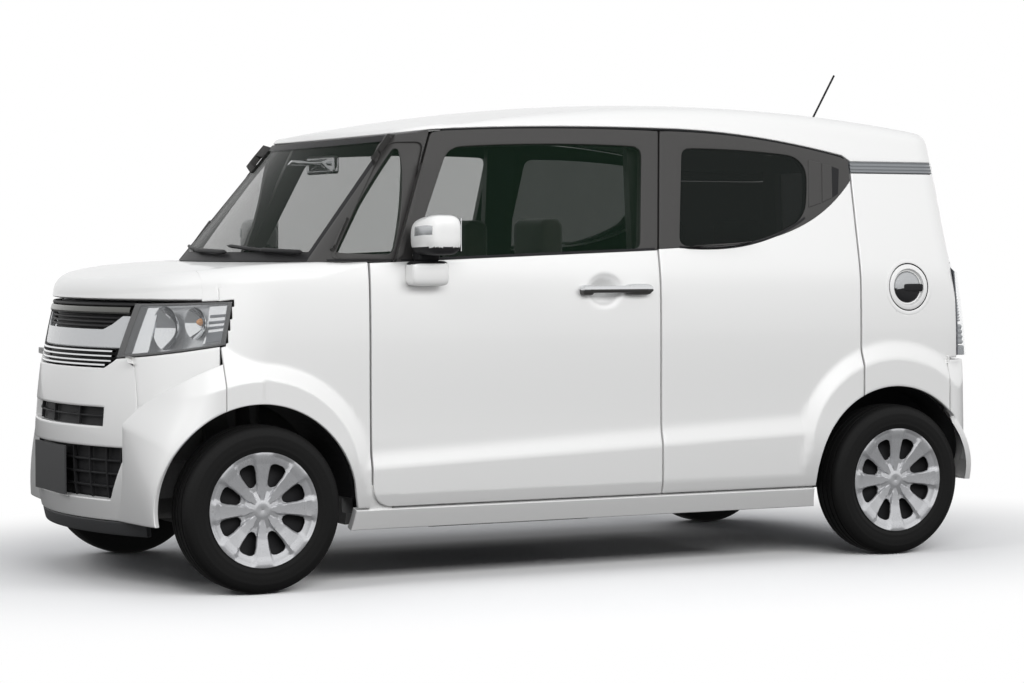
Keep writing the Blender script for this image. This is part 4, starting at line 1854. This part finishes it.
for end, axle_x in (("front", FRONT_AXLE), ("rear", REAR_AXLE)):
    for side in ("left", "right"):
        body = f"wheel_{end}_{side}"
        piece(f"tyre_skin_{end}_{side}", at_wheel(tyre, axle_x, side), "tyre", body,
              [f"tyre_{end}_{side}"], sharp=50.0)
        piece(f"cover_{end}_{side}", at_wheel(cover, axle_x, side), "wheel_silver", body,
              [f"wheel_{end}_{side}"])
        piece(f"rim_{end}_{side}", at_wheel(inside, axle_x, side), "black_plastic", body)
print("wheels:", len(cover[1]), "faces in a cover,", len(tyre[1]), "in a tyre")

# %% [markdown]
# ## Inside
# Seats are padded: each packed seat is remeshed into even cells and blown up a little as cloth
# under pressure, and its movement is capped, so that the cushions round over. The steering wheel is
# a ring with a padded boss and three spokes.

# %% Seats
def padded_seat(node, cell=0.014, most=0.009):
    """Cushion from a packed seat: voxel remesh, cloth under pressure with gravity off, movement
    capped, then smoothed."""
    obj = merged_copy(node, "padded_" + node)
    remesh = obj.modifiers.new("even", "REMESH")
    remesh.mode, remesh.voxel_size = "VOXEL", cell
    settle(obj)
    start = vertex_array(obj.data)
    cloth = obj.modifiers.new("cloth", "CLOTH")
    cloth.settings.use_pressure = True
    cloth.settings.uniform_pressure_force = 4.0
    cloth.settings.effector_weights.gravity = 0.0
    cloth.settings.quality = 3
    scene = bpy.context.scene
    for number in range(1, 13):
        scene.frame_set(number)
    settle(obj)
    scene.frame_set(1)
    moved = vertex_array(obj.data) - start
    size = np.linalg.norm(moved, axis=1, keepdims=True)
    low, high = (np.array(corner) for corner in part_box(node))
    end = np.clip(start + moved * np.minimum(1, most / np.maximum(size, 1e-9)), low - 0.008,
                  high + 0.008)
    obj.data.vertices.foreach_set("co", end.ravel())
    obj.data.shade_smooth()
    obj.data.materials.clear()
    obj.data.materials.append(FINISH["seat_fabric"])
    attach(obj, body_of[node])
    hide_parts(node)
    return obj


def settle(obj):
    """Apply an object's modifiers: its evaluated mesh takes the place of its own."""
    graph = bpy.context.evaluated_depsgraph_get()
    data = bpy.data.meshes.new_from_object(obj.evaluated_get(graph))
    obj.modifiers.clear()
    obj.data = data


def vertex_array(data):
    """Vertex places of a mesh as rows."""
    places = np.empty(len(data.vertices) * 3)
    data.vertices.foreach_get("co", places)
    return places.reshape(-1, 3)


for node in ("front_seats", "rear_seat"):
    padded_seat(node)
    drawn.add(node)
print("seats padded")

# %% Steering wheel
STEER_AT, STEER_AXIS = np.array((0.480, -0.330,
                                 0.950)), np.array((0.86, 0.0, -0.51)) / math.hypot(0.86, 0.51)
STEER_UP = np.array((0.51, 0.0, 0.86)) / math.hypot(0.86, 0.51)
STEER_SIDE = np.array((0.0, 1.0, 0.0))
STEER_R = 0.178


def on_column(points):
    """Places (across, up the wheel, along the column) moved to the steering wheel."""
    across, up, in_line = (points[..., i:i + 1] for i in range(3))
    return STEER_AT + across * STEER_SIDE + up * STEER_UP + in_line * STEER_AXIS


def steering_mesh():
    """Rim as a ring whose section is flattened, a boss and three spokes."""
    t, s = lattice((0, 2 * np.pi, 81), (0, 2 * np.pi, 17))
    thick = 0.0125 + 0.0008 * np.cos(6 * t)
    radius = STEER_R + thick * np.cos(s)
    ring = points_at(radius * np.cos(t), radius * np.sin(t), thick * np.sin(s))
    mesh = sheet(ring)
    middle = points_at(STEER_R * np.cos(t), STEER_R * np.sin(t), 0 * t).reshape(-1, 3)
    if np.sum(vertex_normals(*mesh) * (mesh[0] - middle)) < 0:
        mesh = sheet(ring, flip=True)
    parts = [mesh, pebble((-0.050, -0.050, -0.029), (0.050, 0.050, 0.029), 2, 0.8, 0.3),
             pebble((-0.172, -0.016, -0.006), (-0.03, 0.016, 0.006), 0, 0.6, 0.2),
             pebble((0.03, -0.016, -0.006), (0.172, 0.016, 0.006), 0, 0.6, 0.2),
             pebble((-0.018, -0.172, -0.006), (0.018, -0.03, 0.006), 1, 0.6, 0.2),
             pebble((-0.014, -0.014, 0.0), (0.014, 0.014, 0.165), 2, 1.0, 0.1)]
    points, quads = joined(*parts)
    return on_column(points), quads[:, ::-1]


piece("steering_skin", steering_mesh(), "black_plastic", "steering_wheel", ["steering_wheel"])
print("steering wheel made")

# %% [markdown]
# ## Plain parts
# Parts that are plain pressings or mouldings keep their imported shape. Their triangles are merged
# and shaded smooth across the faces, with the real folds kept sharp.

# %% Plain parts
kept = [node for node in nodes if node not in drawn]
for node in kept:
    smooth_copy(node)
print("plain parts:", len(kept))
